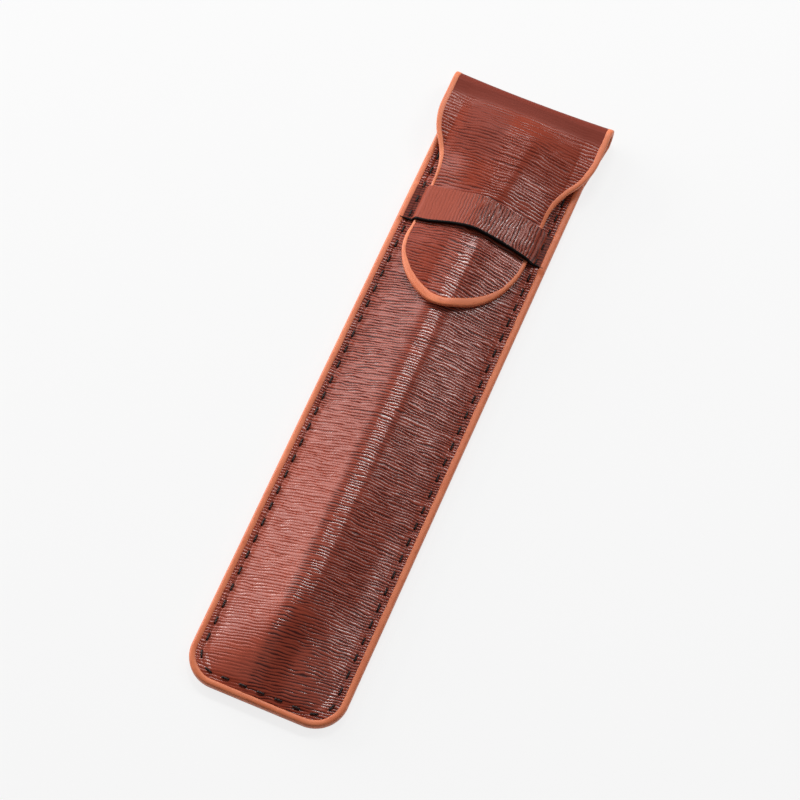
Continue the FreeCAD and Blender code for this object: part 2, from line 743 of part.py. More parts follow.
def stitch(x, y, angle, z, up):
    """One visible stitch: a low bar of thread, narrower at its top, that lies on z and stands up or down."""
    base = value("Sizes.thread") / 2
    crown = base / 2
    length = value("Sizes.stitch_length")
    corners = [(-base, 0), (base, 0), (crown, up * base), (-crown, up * base), (-base, 0)]
    section = Part.Face(Part.makePolygon([Vector(0, y, z) for y, z in corners]))
    bar = section.extrude(Vector(length, 0, 0))
    bar.translate(Vector(-length / 2, 0, 0))
    bar.rotate(Vector(0, 0, 0), Vector(0, 0, 1), angle)
    bar.translate(Vector(x, y, z))
    return bar


def stitch_group(label, bars):
    feature = doc.addObject("Part::Feature", label)
    feature.Label = label
    feature.Shape = Part.makeCompound(bars)
    feature.Placement = FreeCAD.Placement()
    return feature


def front_stitches():
    """Stitches on the front: in the channel, or on top of the keeper strap where it crosses the seam."""
    channel_z = value(f"{SEAM_Z} - Sizes.channel_depth")
    strap_z = value(f"{SEAM_Z} + Sizes.leather")
    strap_high = value(KEEPER_Y)
    strap_low = value(f"{KEEPER_Y} - Sizes.keeper_width")
    reach = value("Sizes.stitch_length") / 2
    bars = []
    for x, y, angle in stitch_places():
        if y + reach < strap_low or y - reach > strap_high:
            bars.append(stitch(x, y, angle, channel_z, 1))
        elif strap_low < y - reach and y + reach < strap_high:
            bars.append(stitch(x, y, angle, strap_z, 1))
    return stitch_group("front_stitches", bars)


def back_stitches():
    """Stitches on the back, sunk in their channel so that the panel lies flat."""
    channel_z = value("Sizes.channel_depth")
    bars = [stitch(x, y, angle, channel_z, -1) for x, y, angle in stitch_places()]
    return stitch_group("back_stitches", bars)


def build():
    """Every sub-part of the sleeve."""
    return [
        back_panel(),
        back_lining(),
        back_edges(),
        body_edge(),
        front_panel(),
        front_lining(),
        mouth_edge(),
        keeper_strap(),
        keeper_edges(),
        keeper_ends(),
        fold_ply("fold_panel", FOLD_MIDDLE, FOLD_OUTER),
        fold_ply("fold_lining", FOLD_INNER, FOLD_MIDDLE),
        fold_edges(),
        flap_ply("flap_panel", "Sizes.lining", PLY),
        flap_ply("flap_lining", "0", "Sizes.lining"),
        flap_edge(),
        front_stitches(),
        back_stitches(),
    ]


def check(pieces):
    """Stops the build if any object failed or any sub-part has no sound shape."""
    for item in doc.Objects:
        if {"Invalid", "Error"} & set(item.State):
            raise RuntimeError(f"{item.Name} failed: {item.State}")
    for piece in pieces:
        if piece.Shape.isNull() or not piece.Shape.isValid() or piece.Shape.Volume <= 0:
            raise RuntimeError(f"{piece.Label} has no sound shape")


def main():
    fill_sheet()
    pieces = build()
    doc.recompute()
    check(pieces)
    os.makedirs("parts", exist_ok=True)
    for piece in pieces:
        piece.Shape.exportStep(f"parts/{piece.Label}.step")
        solids = len(piece.Shape.Solids)
        print(f"{piece.Label}: {solids} solid(s), {piece.Shape.Volume:.2f} mm3")


main()
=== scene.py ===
"""Looks of a single pen sleeve in embossed leather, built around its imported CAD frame.

The sleeve lies on its back: X across, Y along it with the fold at +Y, Z up. Shapes are worked out in
millimetres and become metres when a mesh is made. Where something comes and goes is given by a pair
for ramp() or by three values for rise_and_fall(), in the frame unless a comment says otherwise.
"""

import math

import bpy
import numpy as np
from mathutils import Matrix, Vector


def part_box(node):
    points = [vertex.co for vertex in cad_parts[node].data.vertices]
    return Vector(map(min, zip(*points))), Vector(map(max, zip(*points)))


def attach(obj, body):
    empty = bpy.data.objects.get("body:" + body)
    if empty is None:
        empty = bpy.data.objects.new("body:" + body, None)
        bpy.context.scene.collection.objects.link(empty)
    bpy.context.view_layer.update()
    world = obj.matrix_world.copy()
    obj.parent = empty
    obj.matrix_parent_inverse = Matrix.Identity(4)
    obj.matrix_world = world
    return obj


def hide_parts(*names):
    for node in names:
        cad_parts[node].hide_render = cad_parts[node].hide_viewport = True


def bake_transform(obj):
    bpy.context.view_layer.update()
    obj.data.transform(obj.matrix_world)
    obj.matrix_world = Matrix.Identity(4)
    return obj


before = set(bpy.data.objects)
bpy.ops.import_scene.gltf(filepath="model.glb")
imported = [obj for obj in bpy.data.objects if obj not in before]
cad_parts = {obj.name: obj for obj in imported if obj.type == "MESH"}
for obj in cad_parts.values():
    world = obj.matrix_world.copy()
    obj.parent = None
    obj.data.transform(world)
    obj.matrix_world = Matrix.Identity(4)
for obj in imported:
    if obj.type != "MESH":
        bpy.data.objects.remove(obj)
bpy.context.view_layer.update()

MM = 0.001
TINY = 1e-6


def node_box(node):
    """Lowest and highest corner of a CAD node in millimetres."""
    low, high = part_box(node)
    return np.array(low) / MM, np.array(high) / MM


# Sizes taken from the frame. The tip and the strap are a little nearer to the toe than there.
body_low, body_high = node_box("body_edge")
_, panel_high = node_box("front_panel")
_, back_high = node_box("back_panel")
_, lining_high = node_box("back_lining")
fold_low, fold_high = node_box("fold_panel")
flap_low, flap_high = node_box("flap_edge")
strap_low, strap_high = node_box("keeper_edges")
TIP_DROOP = 0.4
STRAP_SAG = 0.45
HALF_WIDTH = body_high[0]
BOTTOM = body_low[1]
SEAM = body_high[2]
PANEL_HALF = panel_high[0]
PANEL_TOP = panel_high[1]
RISE = panel_high[2] - SEAM
MOUTH = body_high[1]
PLY = lining_high[2]
LEATHER = back_high[2]
LINING = PLY - LEATHER
FOLD_Y = back_high[1]
FOLD_OUTER = (fold_high[2] - fold_low[2]) / 2
FOLD_INNER = FOLD_OUTER - PLY
FOLD_HALF = fold_high[0]
FOLD_RUN = math.pi * FOLD_OUTER
FLAP_HALF = flap_high[0]
TIP = flap_low[1] - TIP_DROOP
STRAP_LOW = strap_low[1] - STRAP_SAG
STRAP_HIGH = strap_high[1] - STRAP_SAG
EDGE = HALF_WIDTH - PANEL_HALF
FLAP_EDGE = FLAP_HALF - FOLD_HALF

# Tent pressed into the front, and the hip in which it ends at the toe, with places up from the bottom.
CORNER = 8.0
TENT_HALF = 16.1
FOOT = 3.0
RIDGE = 3.5
CROWN = 2.25
CROWN_ROLL = 0.48
CROWN_REACH = 3
DOME_FLATNESS = 12
HIP_START = 22.0
HIP_END = 2.2
HIP_ROUND = 3.2
HIP_EASE = 0.25
HIP_LEAN = 0.9
HIP_LEAN_SIDES = (-5, 4)
HIP_LEAN_UP = (4, 18)

# Fold, flap and tongue. Where the strap leaves the flap free, its crest drifts and its left springs up.
FOLD_RISE = 0.4
FOLD_DIP = 0.6
FOLD_EASE = 12
SLIP = 0.25
SHOULDER_DROP = 10.2
TAPER = 20.0
TONGUE_HALF = 14.8
TONGUE_SIDE = 19.0
TONGUE_TIP = 8.0
TONGUE_SWAY = 0.6
SWAY_EASE = 10
FLAP_CROWN = 2.45
FLAP_ROLL = 0.5
CROWN_SPREAD = 0.4
CROWN_FADE = 2.0
STRAP_HOLD = 1
STRAP_EASE = 6
CREST_DRIFT = 1.8
DRIFT_REACH = 6
DRIFT_ABOVE = 0.7
DRIFT_LIFT = 0.45
TONGUE_SPRING = 1.0
TONGUE_SPRING_EASE = 9
TONGUE_SPRING_SIDES = (-14.5, -2.5)
FLAP_SPRING = 0.6
FLAP_SPRING_ACROSS = (-1.5, -10.5)

# Arcs of the flap's outline: an S-shaped taper from the shoulders to the waist, then the tongue.
SHOULDER_Y = FOLD_Y + FOLD_OUTER - SHOULDER_DROP
WAIST_Y = SHOULDER_Y - TAPER
NARROWING = FLAP_HALF - TONGUE_HALF
BEND = (TAPER ** 2 + NARROWING ** 2) / (4 * NARROWING)
BEND_TURN = 2 * math.atan2(NARROWING, TAPER)
SIDE_DROP = math.sqrt((TONGUE_SIDE - TONGUE_TIP) ** 2 - (TONGUE_SIDE - TONGUE_HALF) ** 2)
SIDE_TURN = math.atan2(SIDE_DROP, TONGUE_SIDE - TONGUE_HALF)
TIP_Y = TIP + TONGUE_TIP
SIDE_Y = TIP_Y + SIDE_DROP

# Strap. DIVES and ENDS are for the left and right of its arch; PAST places are outwards from these ends.
STRAP_APEX = 9.35
STRAP_SLOPE = 0.392
STRAP_BEND = 2.2
STRAP_DIVES = (3.0, 1.15)
STRAP_ENDS = (15.65, 16.5)
STRAP_ROUND = 0.9
STRAP_SETTLE = 0.3
STRAP_SKIVED = 0.4
SKIVE_PAST = (0.4, -1.6)
SEWN_PAST = (-0.3, 0.3)
GAPE_PAST = (0.3, -3.7)

# Saddle stitches, and the channel and holes that they press into the leather.
STITCH_INSET = 2.95
STITCH_TOP_GAP = 4.0
STITCH_PITCH = 4.4
STITCH_LENGTH = 1.8
THREAD = 0.5
CHANNEL_DEPTH = 0.22
CHANNEL_REACH = 0.26
CHANNEL_EASE = 2
HOLE_DEPTH = 0.14
HOLE_REACH = 0.3
BOTTOM_SHALLOWER = 0.7
BOTTOM_EASE = 3

# Embossed grain: fine ribs across the leather, bent by waves with a share of the pitch and a length along
# and across the ribs.
GRAIN_PITCH = 0.73
GRAIN_DEPTH = 0.16
GRAIN_WAVES = ((0.4, 7, 6), (0.34, 2.4, 1.3), (0.1, 0.9, 0.7))
GRAIN_STRETCH = 0.92
GRAIN_SLANT = 0.1
TOE_SLANT = 0.07
TOE_SLANT_ALONG = (-45, -75)
RIB_STRENGTH = 0.78
RIB_SPREAD = 0.5
RIB_LEAST = 0.35
RIB_LENGTH = 2.1
RIB_SHIFT = 3.7
RIB_STEP = 0.61

# Random fields.
NOISE_SIZE = 256
UNEVEN_SEED = 5
FRONT_SEED = 11
BACK_SEED = 41
FLAP_SEED = 71
FLAP_BAND_SEED = 91
BODY_BAND_SEED = 95
STRAP_SEED = 131


# Fields.


def smooth(share):
    """Eased step from 0 to 1."""
    share = np.clip(share, 0, 1)
    return share * share * (3 - 2 * share)


def ramp(value, start, full):
    """Eased step from 0 at the start to 1 where it is full."""
    return smooth((value - start) / (full - start))


def rise_and_fall(value, low, high, ease):
    """1 between low and high, 0 outside, eased inside each of them."""
    return smooth((value - low) / ease) * smooth((high - value) / ease)


def bell(distance, reach):
    return np.exp(-((distance / reach) ** 2))


def bells(value, rows):
    """Sum of bells, each with a height, a place and a reach."""
    return sum(height * bell(value - place, reach) for height, place, reach in rows)


def field(u, v, seed):
    """Smooth random field from -1 to 1 whose lattice has one step per unit of u and v."""
    table = np.random.default_rng(seed).uniform(-1, 1, (NOISE_SIZE, NOISE_SIZE))
    u, v = np.broadcast_arrays(u, v)
    column, row = np.floor(u).astype(int), np.floor(v).astype(int)
    across, along = smooth(u - column), smooth(v - row)
    left, right = column % NOISE_SIZE, (column + 1) % NOISE_SIZE
    low, high = row % NOISE_SIZE, (row + 1) % NOISE_SIZE
    near = table[left, low] * (1 - across) + table[right, low] * across
    far = table[left, high] * (1 - across) + table[right, high] * across
    return near * (1 - along) + far * along


def grain(u, v, seed):
    """Depth, from 0 to 1, between rounded ribs that run along u and follow each other along v."""
    phase = v / GRAIN_PITCH
    for number, (share, along, across) in enumerate(GRAIN_WAVES):
        phase = phase + share * field(u / along, v / across, seed + number)
    line = np.round(phase)
    near = 1 - 2 * np.abs(phase - line)
    uneven = field(u / RIB_LENGTH + line * RIB_SHIFT, line * RIB_STEP, seed + len(GRAIN_WAVES))
    return near ** 2 * np.clip(RIB_STRENGTH + RIB_SPREAD * uneven, RIB_LEAST, 1)


# Meshes.

SHARP_ANGLE = math.radians(50)


def joined(*parts):
    """Grid of points or pairs from a grid or a number for each coordinate."""
    return np.stack(np.broadcast_arrays(*parts), -1)


def add_object(name, points, faces, uvs, skins, skin_index, marks=None):
    """Smooth mesh object from points in millimetres, one UV pair in millimetres for each point."""
    mesh = bpy.data.meshes.new(name)
    mesh.from_pydata((np.asarray(points) * MM).tolist(), [], faces)
    corners = np.zeros(len(mesh.loops), int)
    mesh.loops.foreach_get("vertex_index", corners)
    layer = mesh.uv_layers.new(name="UVMap")
    layer.data.foreach_set("uv", (np.asarray(uvs) * MM)[corners].ravel().astype(np.float32))
    for skin in skins:
        mesh.materials.append(skin)
    mesh.polygons.foreach_set("material_index", np.asarray(skin_index, np.int32))
    mesh.polygons.foreach_set("use_smooth", np.ones(len(faces), bool))
    for mark, values in (marks or {}).items():
        attribute = mesh.attributes.new(mark, "FLOAT", "POINT")
        attribute.data.foreach_set("value", np.asarray(values, np.float32))
    mesh.set_sharp_from_angle(angle=SHARP_ANGLE)
    mesh.update()
    piece = bpy.data.objects.new(name, mesh)
    bpy.context.scene.collection.objects.link(piece)
    return piece


def every(count, step):
    """Indices 0, step, 2 step and so on, with the last one always in."""
    picked = list(range(0, count, step))
    if picked[-1] != count - 1:
        picked.append(count - 1)
    return picked


def shell(name, top, bottom, uv, skins, marks=None, coarse=(8, 2)):
    """Closed sheet between two grids of points; the underside keeps only some rows and columns.

    The skins are the materials of the top, the underside and the rim; the marks are grids of values
    for the top that its material reads.
    """
    rows, columns = top.shape[:2]
    row_pick, column_pick = every(rows, coarse[0]), every(columns, coarse[1])
    low = bottom[np.ix_(row_pick, column_pick)]
    points = np.concatenate([top.reshape(-1, 3), low.reshape(-1, 3)])
    uvs = np.concatenate([uv.reshape(-1, 2), uv[np.ix_(row_pick, column_pick)].reshape(-1, 2)])
    first = rows * columns
    wide = len(column_pick)

    def upper(row, column):
        return row * columns + column

    def lower(row, column):
        return first + row * wide + column

    faces, index = [], []
    for row in range(rows - 1):
        for column in range(columns - 1):
            faces.append((upper(row, column), upper(row, column + 1),
                          upper(row + 1, column + 1), upper(row + 1, column)))
    index += [0] * len(faces)
    for row in range(len(row_pick) - 1):
        for column in range(wide - 1):
            faces.append((lower(row, column), lower(row + 1, column),
                          lower(row + 1, column + 1), lower(row, column + 1)))
    index += [1] * (len(faces) - len(index))
    for side, (column, low_column) in enumerate(((0, 0), (columns - 1, wide - 1))):
        for number, (start, end) in enumerate(zip(row_pick, row_pick[1:])):
            edge = [upper(row, column) for row in range(start, end + 1)]
            edge += [lower(number + 1, low_column), lower(number, low_column)]
            faces.append(tuple(edge if side == 0 else reversed(edge)))
    for side, (row, low_row) in enumerate(((0, 0), (rows - 1, len(row_pick) - 1))):
        for number, (start, end) in enumerate(zip(column_pick, column_pick[1:])):
            edge = [upper(row, column) for column in range(start, end + 1)]
            edge += [lower(low_row, number + 1), lower(low_row, number)]
            faces.append(tuple(reversed(edge) if side == 0 else edge))
    index += [2] * (len(faces) - len(index))
    blank = np.zeros(low.shape[0] * low.shape[1])
    marks = {mark: np.concatenate([grid.ravel(), blank]) for mark, grid in (marks or {}).items()}
    return add_object(name, points, faces, uvs, skins, index, marks)


def sweep(name, tubes, skin):
    """One object of closed tubes, each a grid of rings of points, capped at both ends."""
    points, uvs, faces = [], [], []
    for rings in tubes:
        count, around = rings.shape[:2]
        first = sum(len(part) for part in points)
        steps = np.linalg.norm(np.diff(rings.mean(1), axis=0), axis=1)
        run = np.concatenate([[0], np.cumsum(steps)])
        girth = np.linalg.norm(np.diff(rings[0], axis=0), axis=1)
        turn = np.concatenate([[0], np.cumsum(girth)])
        uv = joined(turn[None, :], run[:, None])
        points.append(rings.reshape(-1, 3))
        uvs.append(uv.reshape(-1, 2))
        for ring in range(count - 1):
            near, far = first + ring * around, first + (ring + 1) * around
            for spot in range(around):
                following = (spot + 1) % around
                faces.append((near + spot, near + following, far + following, far + spot))
        faces.append(tuple(first + spot for spot in reversed(range(around))))
        faces.append(tuple(first + (count - 1) * around + spot for spot in range(around)))
    return add_object(name, np.concatenate(points), faces, np.concatenate(uvs), [skin], [0] * len(faces))


def rounded_ring(around, squareness=0.62):
    """Unit outline between an ellipse and a rectangle, as two rows of places from -1 to 1."""
    angle = np.linspace(0, 2 * math.pi, around, endpoint=False)[None, :]

    def power(value):
        return np.sign(value) * np.abs(value) ** squareness

    return power(np.cos(angle)), power(np.sin(angle))


# Surfaces of the sleeve.


def soft_min(first, second, reach):
    """Lesser of two heights, rounded off where they are within a reach of each other."""
    near = np.maximum(reach - np.abs(first - second), 0) / reach
    return np.minimum(first, second) - near * near * reach / 4


def tent(x, rise, foot, crest, crown, roll):
    """Height of the pressed tent: foot arcs, straight flanks and a narrow crown, rolled off at its sides."""
    away = np.abs(x)
    reach = foot + crest
    lean = np.arcsin(reach / np.hypot(TENT_HALF, reach - rise)) - np.arctan2(reach - rise, TENT_HALF)
    slope = np.tan(lean)
    foot_in = TENT_HALF - foot * np.sin(lean)
    foot_up = foot * (1 - np.cos(lean))
    on_foot = foot - np.sqrt(np.maximum(foot ** 2 - (TENT_HALF - away) ** 2, 0))
    side = np.where(away < foot_in, foot_up + (foot_in - away) * slope, on_foot)
    dome = slope * (crown - away ** 2 / crown) / DOME_FLATNESS
    cap = foot_up + (foot_in - crown) * slope + dome
    rolled = soft_min(side, cap, slope * crown * roll)
    height = np.where(away < CROWN_REACH * crown, rolled, side)
    return np.where(away < TENT_HALF, height, 0)


def edge_inset(x, y):
    """Distance inside the sleeve's outer edge."""
    from_side = HALF_WIDTH - np.abs(x)
    from_bottom = y - BOTTOM
    corner = CORNER - np.hypot(CORNER - from_side, CORNER - from_bottom)
    in_corner = (from_side < CORNER) & (from_bottom < CORNER)
    return np.where(in_corner, corner, np.minimum(from_side, from_bottom))


def seam_run(x, y):
    """Length along the stitched U from its lowest point to the place nearest to x, y."""
    radius = CORNER - STITCH_INSET
    flat = HALF_WIDTH - CORNER
    away = np.abs(x)
    centre_y = BOTTOM + CORNER
    angle = np.arctan2(np.maximum(away - flat, 0), np.maximum(centre_y - y, TINY))
    on_side = flat + radius * math.pi / 2 + y - centre_y
    return np.where(y > centre_y, on_side, np.where(away < flat, away, flat + radius * angle))


def seam_press(x, y):
    """How far the stitches pull the leather down: a channel with a hole at each end of a stitch."""
    off_line = edge_inset(x, y) - STITCH_INSET
    stretch = smooth((MOUTH - STITCH_TOP_GAP - y) / CHANNEL_EASE)
    stitch = seam_run(x, y) / STITCH_PITCH
    from_hole = np.abs(stitch - np.round(stitch)) * STITCH_PITCH - STITCH_LENGTH / 2
    channel = CHANNEL_DEPTH * bell(off_line, CHANNEL_REACH)
    hole = HOLE_DEPTH * bell(np.hypot(off_line, from_hole), HOLE_REACH)
    shallow = 1 - BOTTOM_SHALLOWER * smooth((BOTTOM + CORNER - y) / BOTTOM_EASE)
    return -(channel + hole) * stretch * shallow


def panel_half(y, inset):
    """Half-width of the body at y, inset from its outer edge, with round bottom corners."""
    radius = CORNER - inset
    down = np.clip(BOTTOM + CORNER - y, 0, radius)
    return HALF_WIDTH - CORNER + np.sqrt(radius ** 2 - down ** 2)


def front_hip(x, y):
    """Height of the slope in which the tent ends at the toe; it leans to the right."""
    lean = HIP_LEAN * np.clip(x, *HIP_LEAN_SIDES) * ramp(y - BOTTOM, *HIP_LEAN_UP)
    climb = RISE * (y - BOTTOM - HIP_END - lean) / (HIP_START - HIP_END)
    return (climb + np.hypot(climb, HIP_EASE)) / 2


def front_tent(x, lift):
    return tent(x, RISE, FOOT + PLY - lift, RIDGE - PLY + lift, CROWN, CROWN_ROLL)


def front_point(x, y, lift):
    """Point of the front at a lift above the inner face of its lining."""
    height = np.maximum(soft_min(front_tent(x, lift), front_hip(x, y), HIP_ROUND), 0)
    return joined(x, y, PLY + lift + height)


def flap_form(y):
    """Height of the flap's margin and rise of its tent at y; the margin is down only at the strap."""
    fold_top = 2 * FOLD_OUTER - PLY
    rest = SEAM + SLIP
    share = (1 - np.cos(math.pi * np.clip((FOLD_Y - y) / (FOLD_Y - MOUTH), 0, 1))) / 2
    base = fold_top + (rest - fold_top) * np.clip((FOLD_Y - y) / (FOLD_Y - STRAP_HIGH - STRAP_HOLD), 0, 1)
    ridge = fold_top + FOLD_RISE + (rest + RISE - fold_top - FOLD_RISE) * share
    return base, ridge - base


def flap_height(x, y, lift):
    """Height of the flap between the fold and its tip."""
    base, rise = flap_form(y)
    below = smooth((STRAP_LOW - y) / STRAP_EASE)
    above = smooth((y - STRAP_HIGH) / STRAP_EASE) * smooth((FOLD_Y - y) / FOLD_EASE)
    free = below + DRIFT_ABOVE * above
    drifted = x - CREST_DRIFT * free * bell(x, DRIFT_REACH)
    crown = FLAP_CROWN + CROWN_SPREAD * lift + CROWN_FADE * ramp(y, STRAP_HIGH, FOLD_Y)
    pressed = tent(drifted, rise, FOOT - SLIP - lift, RIDGE + SLIP + lift, crown, FLAP_ROLL)
    tongue_share = smooth((STRAP_LOW - y) / TONGUE_SPRING_EASE)
    tongue = TONGUE_SPRING * tongue_share * np.interp(x, TONGUE_SPRING_SIDES, (1, 0))
    side = FLAP_SPRING * above * ramp(x, *FLAP_SPRING_ACROSS)
    return base + lift + pressed + DRIFT_LIFT * free + tongue + side


def flap_point(x, run, lift):
    """Point of the flap: run starts where the back turns up into the fold; lift is from the lining."""
    x, run = np.broadcast_arrays(x, run)
    angle = np.clip(run / FOLD_RUN, 0, 1) * math.pi
    radius = FOLD_INNER + lift
    dip = FOLD_DIP * (1 - (x / FLAP_HALF) ** 2) * np.sin(angle)
    fold_y = FOLD_Y + radius * np.sin(angle) - dip
    fold_z = FOLD_OUTER - radius * np.cos(angle)
    flat_y = FOLD_Y - (run - FOLD_RUN)
    flat_z = flap_height(x, flat_y, lift)
    folded = run < FOLD_RUN
    sway = TONGUE_SWAY * smooth((STRAP_LOW - flat_y) / SWAY_EASE)
    return joined(x - sway, np.where(folded, fold_y, flat_y), np.where(folded, fold_z, flat_z))


def flap_half(y, inset):
    """Half-width of the flap's outline at y: shoulders, S-shaped taper, tongue sides and round tip."""
    middle = SHOULDER_Y - (BEND - inset) * math.sin(BEND_TURN)
    join = SIDE_Y - (TONGUE_SIDE - inset) * math.sin(SIDE_TURN)

    def arc(radius, centre):
        return np.sqrt(np.maximum(radius ** 2 - (y - centre) ** 2, 0))

    bulge = FLAP_HALF - BEND + arc(BEND - inset, SHOULDER_Y)
    hollow = TONGUE_HALF + BEND - arc(BEND + inset, WAIST_Y)
    side = TONGUE_HALF - TONGUE_SIDE + arc(TONGUE_SIDE - inset, SIDE_Y)
    return np.select(
        [y >= SHOULDER_Y, y >= middle, y >= WAIST_Y, y >= SIDE_Y, y >= join],
        [FLAP_HALF - inset, bulge, hollow, TONGUE_HALF - inset, side],
        arc(TONGUE_TIP - inset, TIP_Y),
    )


def past_end(x):
    """How far a place across the strap is beyond the end of its arch."""
    return np.abs(x) - np.where(x < 0, *STRAP_ENDS)


def strap_height(x):
    """Height of the strap's underside: an arch over the tongue that dives to the sewn margin at the seam."""
    arch = STRAP_APEX - STRAP_SLOPE * (np.sqrt(x ** 2 + STRAP_BEND ** 2) - STRAP_BEND)
    dive = SEAM - np.where(x < 0, *STRAP_DIVES) * past_end(x)
    above = soft_min(arch, dive, STRAP_ROUND)
    return -soft_min(-above, np.full(np.shape(x), -SEAM), STRAP_SETTLE)


# Materials. A noise has its cells per metre each way, its detail and, if not all of it counts, a range.

DYE_PATCHES = ((70, 110, 70), 3, 0.35, 0.68)
DYE_STREAKS = ((260, 2100, 260), 2, 0.38, 0.66)
GLOSS_SPOTS = ((900, 2600, 900), 2, 0.3, 0.75)
PAINT_MOTTLE = ((260, 140, 260), 3, 0.36, 0.7)
BRUSH_MARKS = ((1800, 420, 1800), 3, 0.58, 0.82)
PORES = ((5200, 6500, 5200), 2)
PAINT_RIPPLE = ((1400, 500, 1400), 2)

# Depth in metres and strength of bumps, the range of the groove mark that darkens the grooves (partly dye in
# the hollows, partly painted shade), and gloss. Up to DULL_WEAR leather loses shine, then it roughens.
PORE_BUMP = (0.00002, 0.4)
RIPPLE_BUMP = (0.00004, 0.5)
GROOVE_DYE_AND_SHADE = (0.06, 0.6)
LEATHER_ROUGHNESS = (0.2, 0.28)
LEATHER_SPECULAR = (0.8, 0.18)
DULL_WEAR = 0.5
WORN_ROUGHNESS = 0.58
PAINT_ROUGHNESS = (0.4, 0.56)
FIBRE_RANGE = (0.3, 0.7)


def srgb(red, green, blue):
    """Linear colour of an sRGB colour given in 8-bit steps."""
    def channel(step):
        share = step / 255
        return share / 12.92 if share <= 0.04045 else ((share + 0.055) / 1.055) ** 2.4
    return (channel(red), channel(green), channel(blue), 1.0)


class Skin:
    """A node material with a few short ways to add nodes to it."""

    def __init__(self, name):
        self.material = bpy.data.materials.new(name)
        self.material.use_nodes = True
        self.tree = self.material.node_tree

    def feed(self, node, inputs):
        """Sets inputs of a node, each to a value or to another node's output."""
        for key, value in inputs.items():
            if isinstance(value, bpy.types.NodeSocket):
                self.tree.links.new(value, node.inputs[key])
            else:
                node.inputs[key].default_value = value
        return node

    def add(self, kind, inputs):
        return self.feed(self.tree.nodes.new(kind), inputs)

    def noise(self, scale, detail, roughness=0.5):
        """Noise over the surface, whose scale is given in cells per metre along each direction."""
        surface = self.add("ShaderNodeUVMap", {}).outputs["UV"]
        spot = self.add("ShaderNodeMapping", {"Vector": surface, "Scale": scale}).outputs["Vector"]
        inputs = {"Vector": spot, "Scale": 1.0, "Detail": detail, "Roughness": roughness}
        return self.add("ShaderNodeTexNoise", inputs).outputs["Fac"]

    def blotches(self, scale, detail, low, high, *to):
        """Noise with a range of it mapped to another range, from 0 to 1 if none is given."""
        return self.spread(self.noise(scale, detail), low, high, *to)

    def attribute(self, name):
        node = self.tree.nodes.new("ShaderNodeAttribute")
        node.attribute_name = name
        return node.outputs["Fac"]

    def spread(self, value, low, high, to_low=0.0, to_high=1.0):
        """Value mapped from one range to another."""
        inputs = {"Value": value, "From Min": low, "From Max": high, "To Min": to_low, "To Max": to_high}
        return self.add("ShaderNodeMapRange", inputs).outputs["Result"]

    def mix(self, factor, first, second):
        """Colour between two colours."""
        node = self.tree.nodes.new("ShaderNodeMix")
        node.data_type = "RGBA"
        return self.feed(node, {"Factor": factor, "A": first, "B": second}).outputs["Result"]

    def combine(self, operation, first, second):
        node = self.tree.nodes.new("ShaderNodeMath")
        node.operation = operation
        return self.feed(node, {0: first, 1: second}).outputs[0]

    def bump(self, height, distance, strength):
        inputs = {"Height": height, "Distance": distance, "Strength": strength}
        return self.add("ShaderNodeBump", inputs).outputs["Normal"]

    def finish(self, colour, roughness, normal, specular):
        looks = {"Base Color": colour, "Roughness": roughness, "Normal": normal}
        self.feed(self.tree.nodes["Principled BSDF"], {**looks, "Specular IOR Level": specular})
        return self.material


def leather(name, light, mid, deep, worn_and_shaded):
    """Semi-gloss embossed leather: patchy dye, grooves darkened partly by dye in the hollows and partly as
    painted shade, fine pores, and a mark that dulls it and blends it towards another colour: rubbing in
    places, painted shade in others.
    """
    skin = Skin(name)
    dye = skin.mix(skin.blotches(*DYE_PATCHES), srgb(*mid), srgb(*light))
    dye = skin.mix(skin.blotches(*DYE_STREAKS), dye, srgb(*mid))
    # Grooves darken towards the deep colour: partly dye in the hollows, partly painted shade.
    groove = skin.spread(skin.attribute("groove"), *GROOVE_DYE_AND_SHADE)
    wear_and_shade = skin.attribute("wear_and_shade")
    colour = skin.mix(groove, skin.mix(wear_and_shade, dye, srgb(*worn_and_shaded)), srgb(*deep))
    gloss = skin.blotches(*GLOSS_SPOTS, *LEATHER_ROUGHNESS)
    roughness = skin.spread(wear_and_shade, DULL_WEAR, 1, gloss, WORN_ROUGHNESS)
    specular = skin.spread(wear_and_shade, 0, DULL_WEAR, *LEATHER_SPECULAR)
    return skin.finish(colour, roughness, skin.bump(skin.noise(*PORES), *PORE_BUMP), specular)


def edge_paint(name, light, mid, deep, specular):
    """Thick satin edge paint with soft mottling and small brush marks along the edge."""
    skin = Skin(name)
    mottle = skin.blotches(*PAINT_MOTTLE)
    colour = skin.mix(skin.blotches(*BRUSH_MARKS), skin.mix(mottle, srgb(*mid), srgb(*light)), srgb(*deep))
    roughness = skin.spread(mottle, 0, 1, *PAINT_ROUGHNESS)
    return skin.finish(colour, roughness, skin.bump(skin.noise(*PAINT_RIPPLE), *RIPPLE_BUMP), specular)


def fibres(name, light, deep, noise, lit, rough, bump, specular):
    """Fibrous finish, lit and rough by one noise: napped lining or waxed thread."""
    skin = Skin(name)
    fibre = skin.noise(*noise)
    colour = skin.mix(skin.spread(fibre, *lit), srgb(*deep), srgb(*light))
    roughness = skin.spread(fibre, *FIBRE_RANGE, *rough)
    return skin.finish(colour, roughness, skin.bump(fibre, *bump), specular)


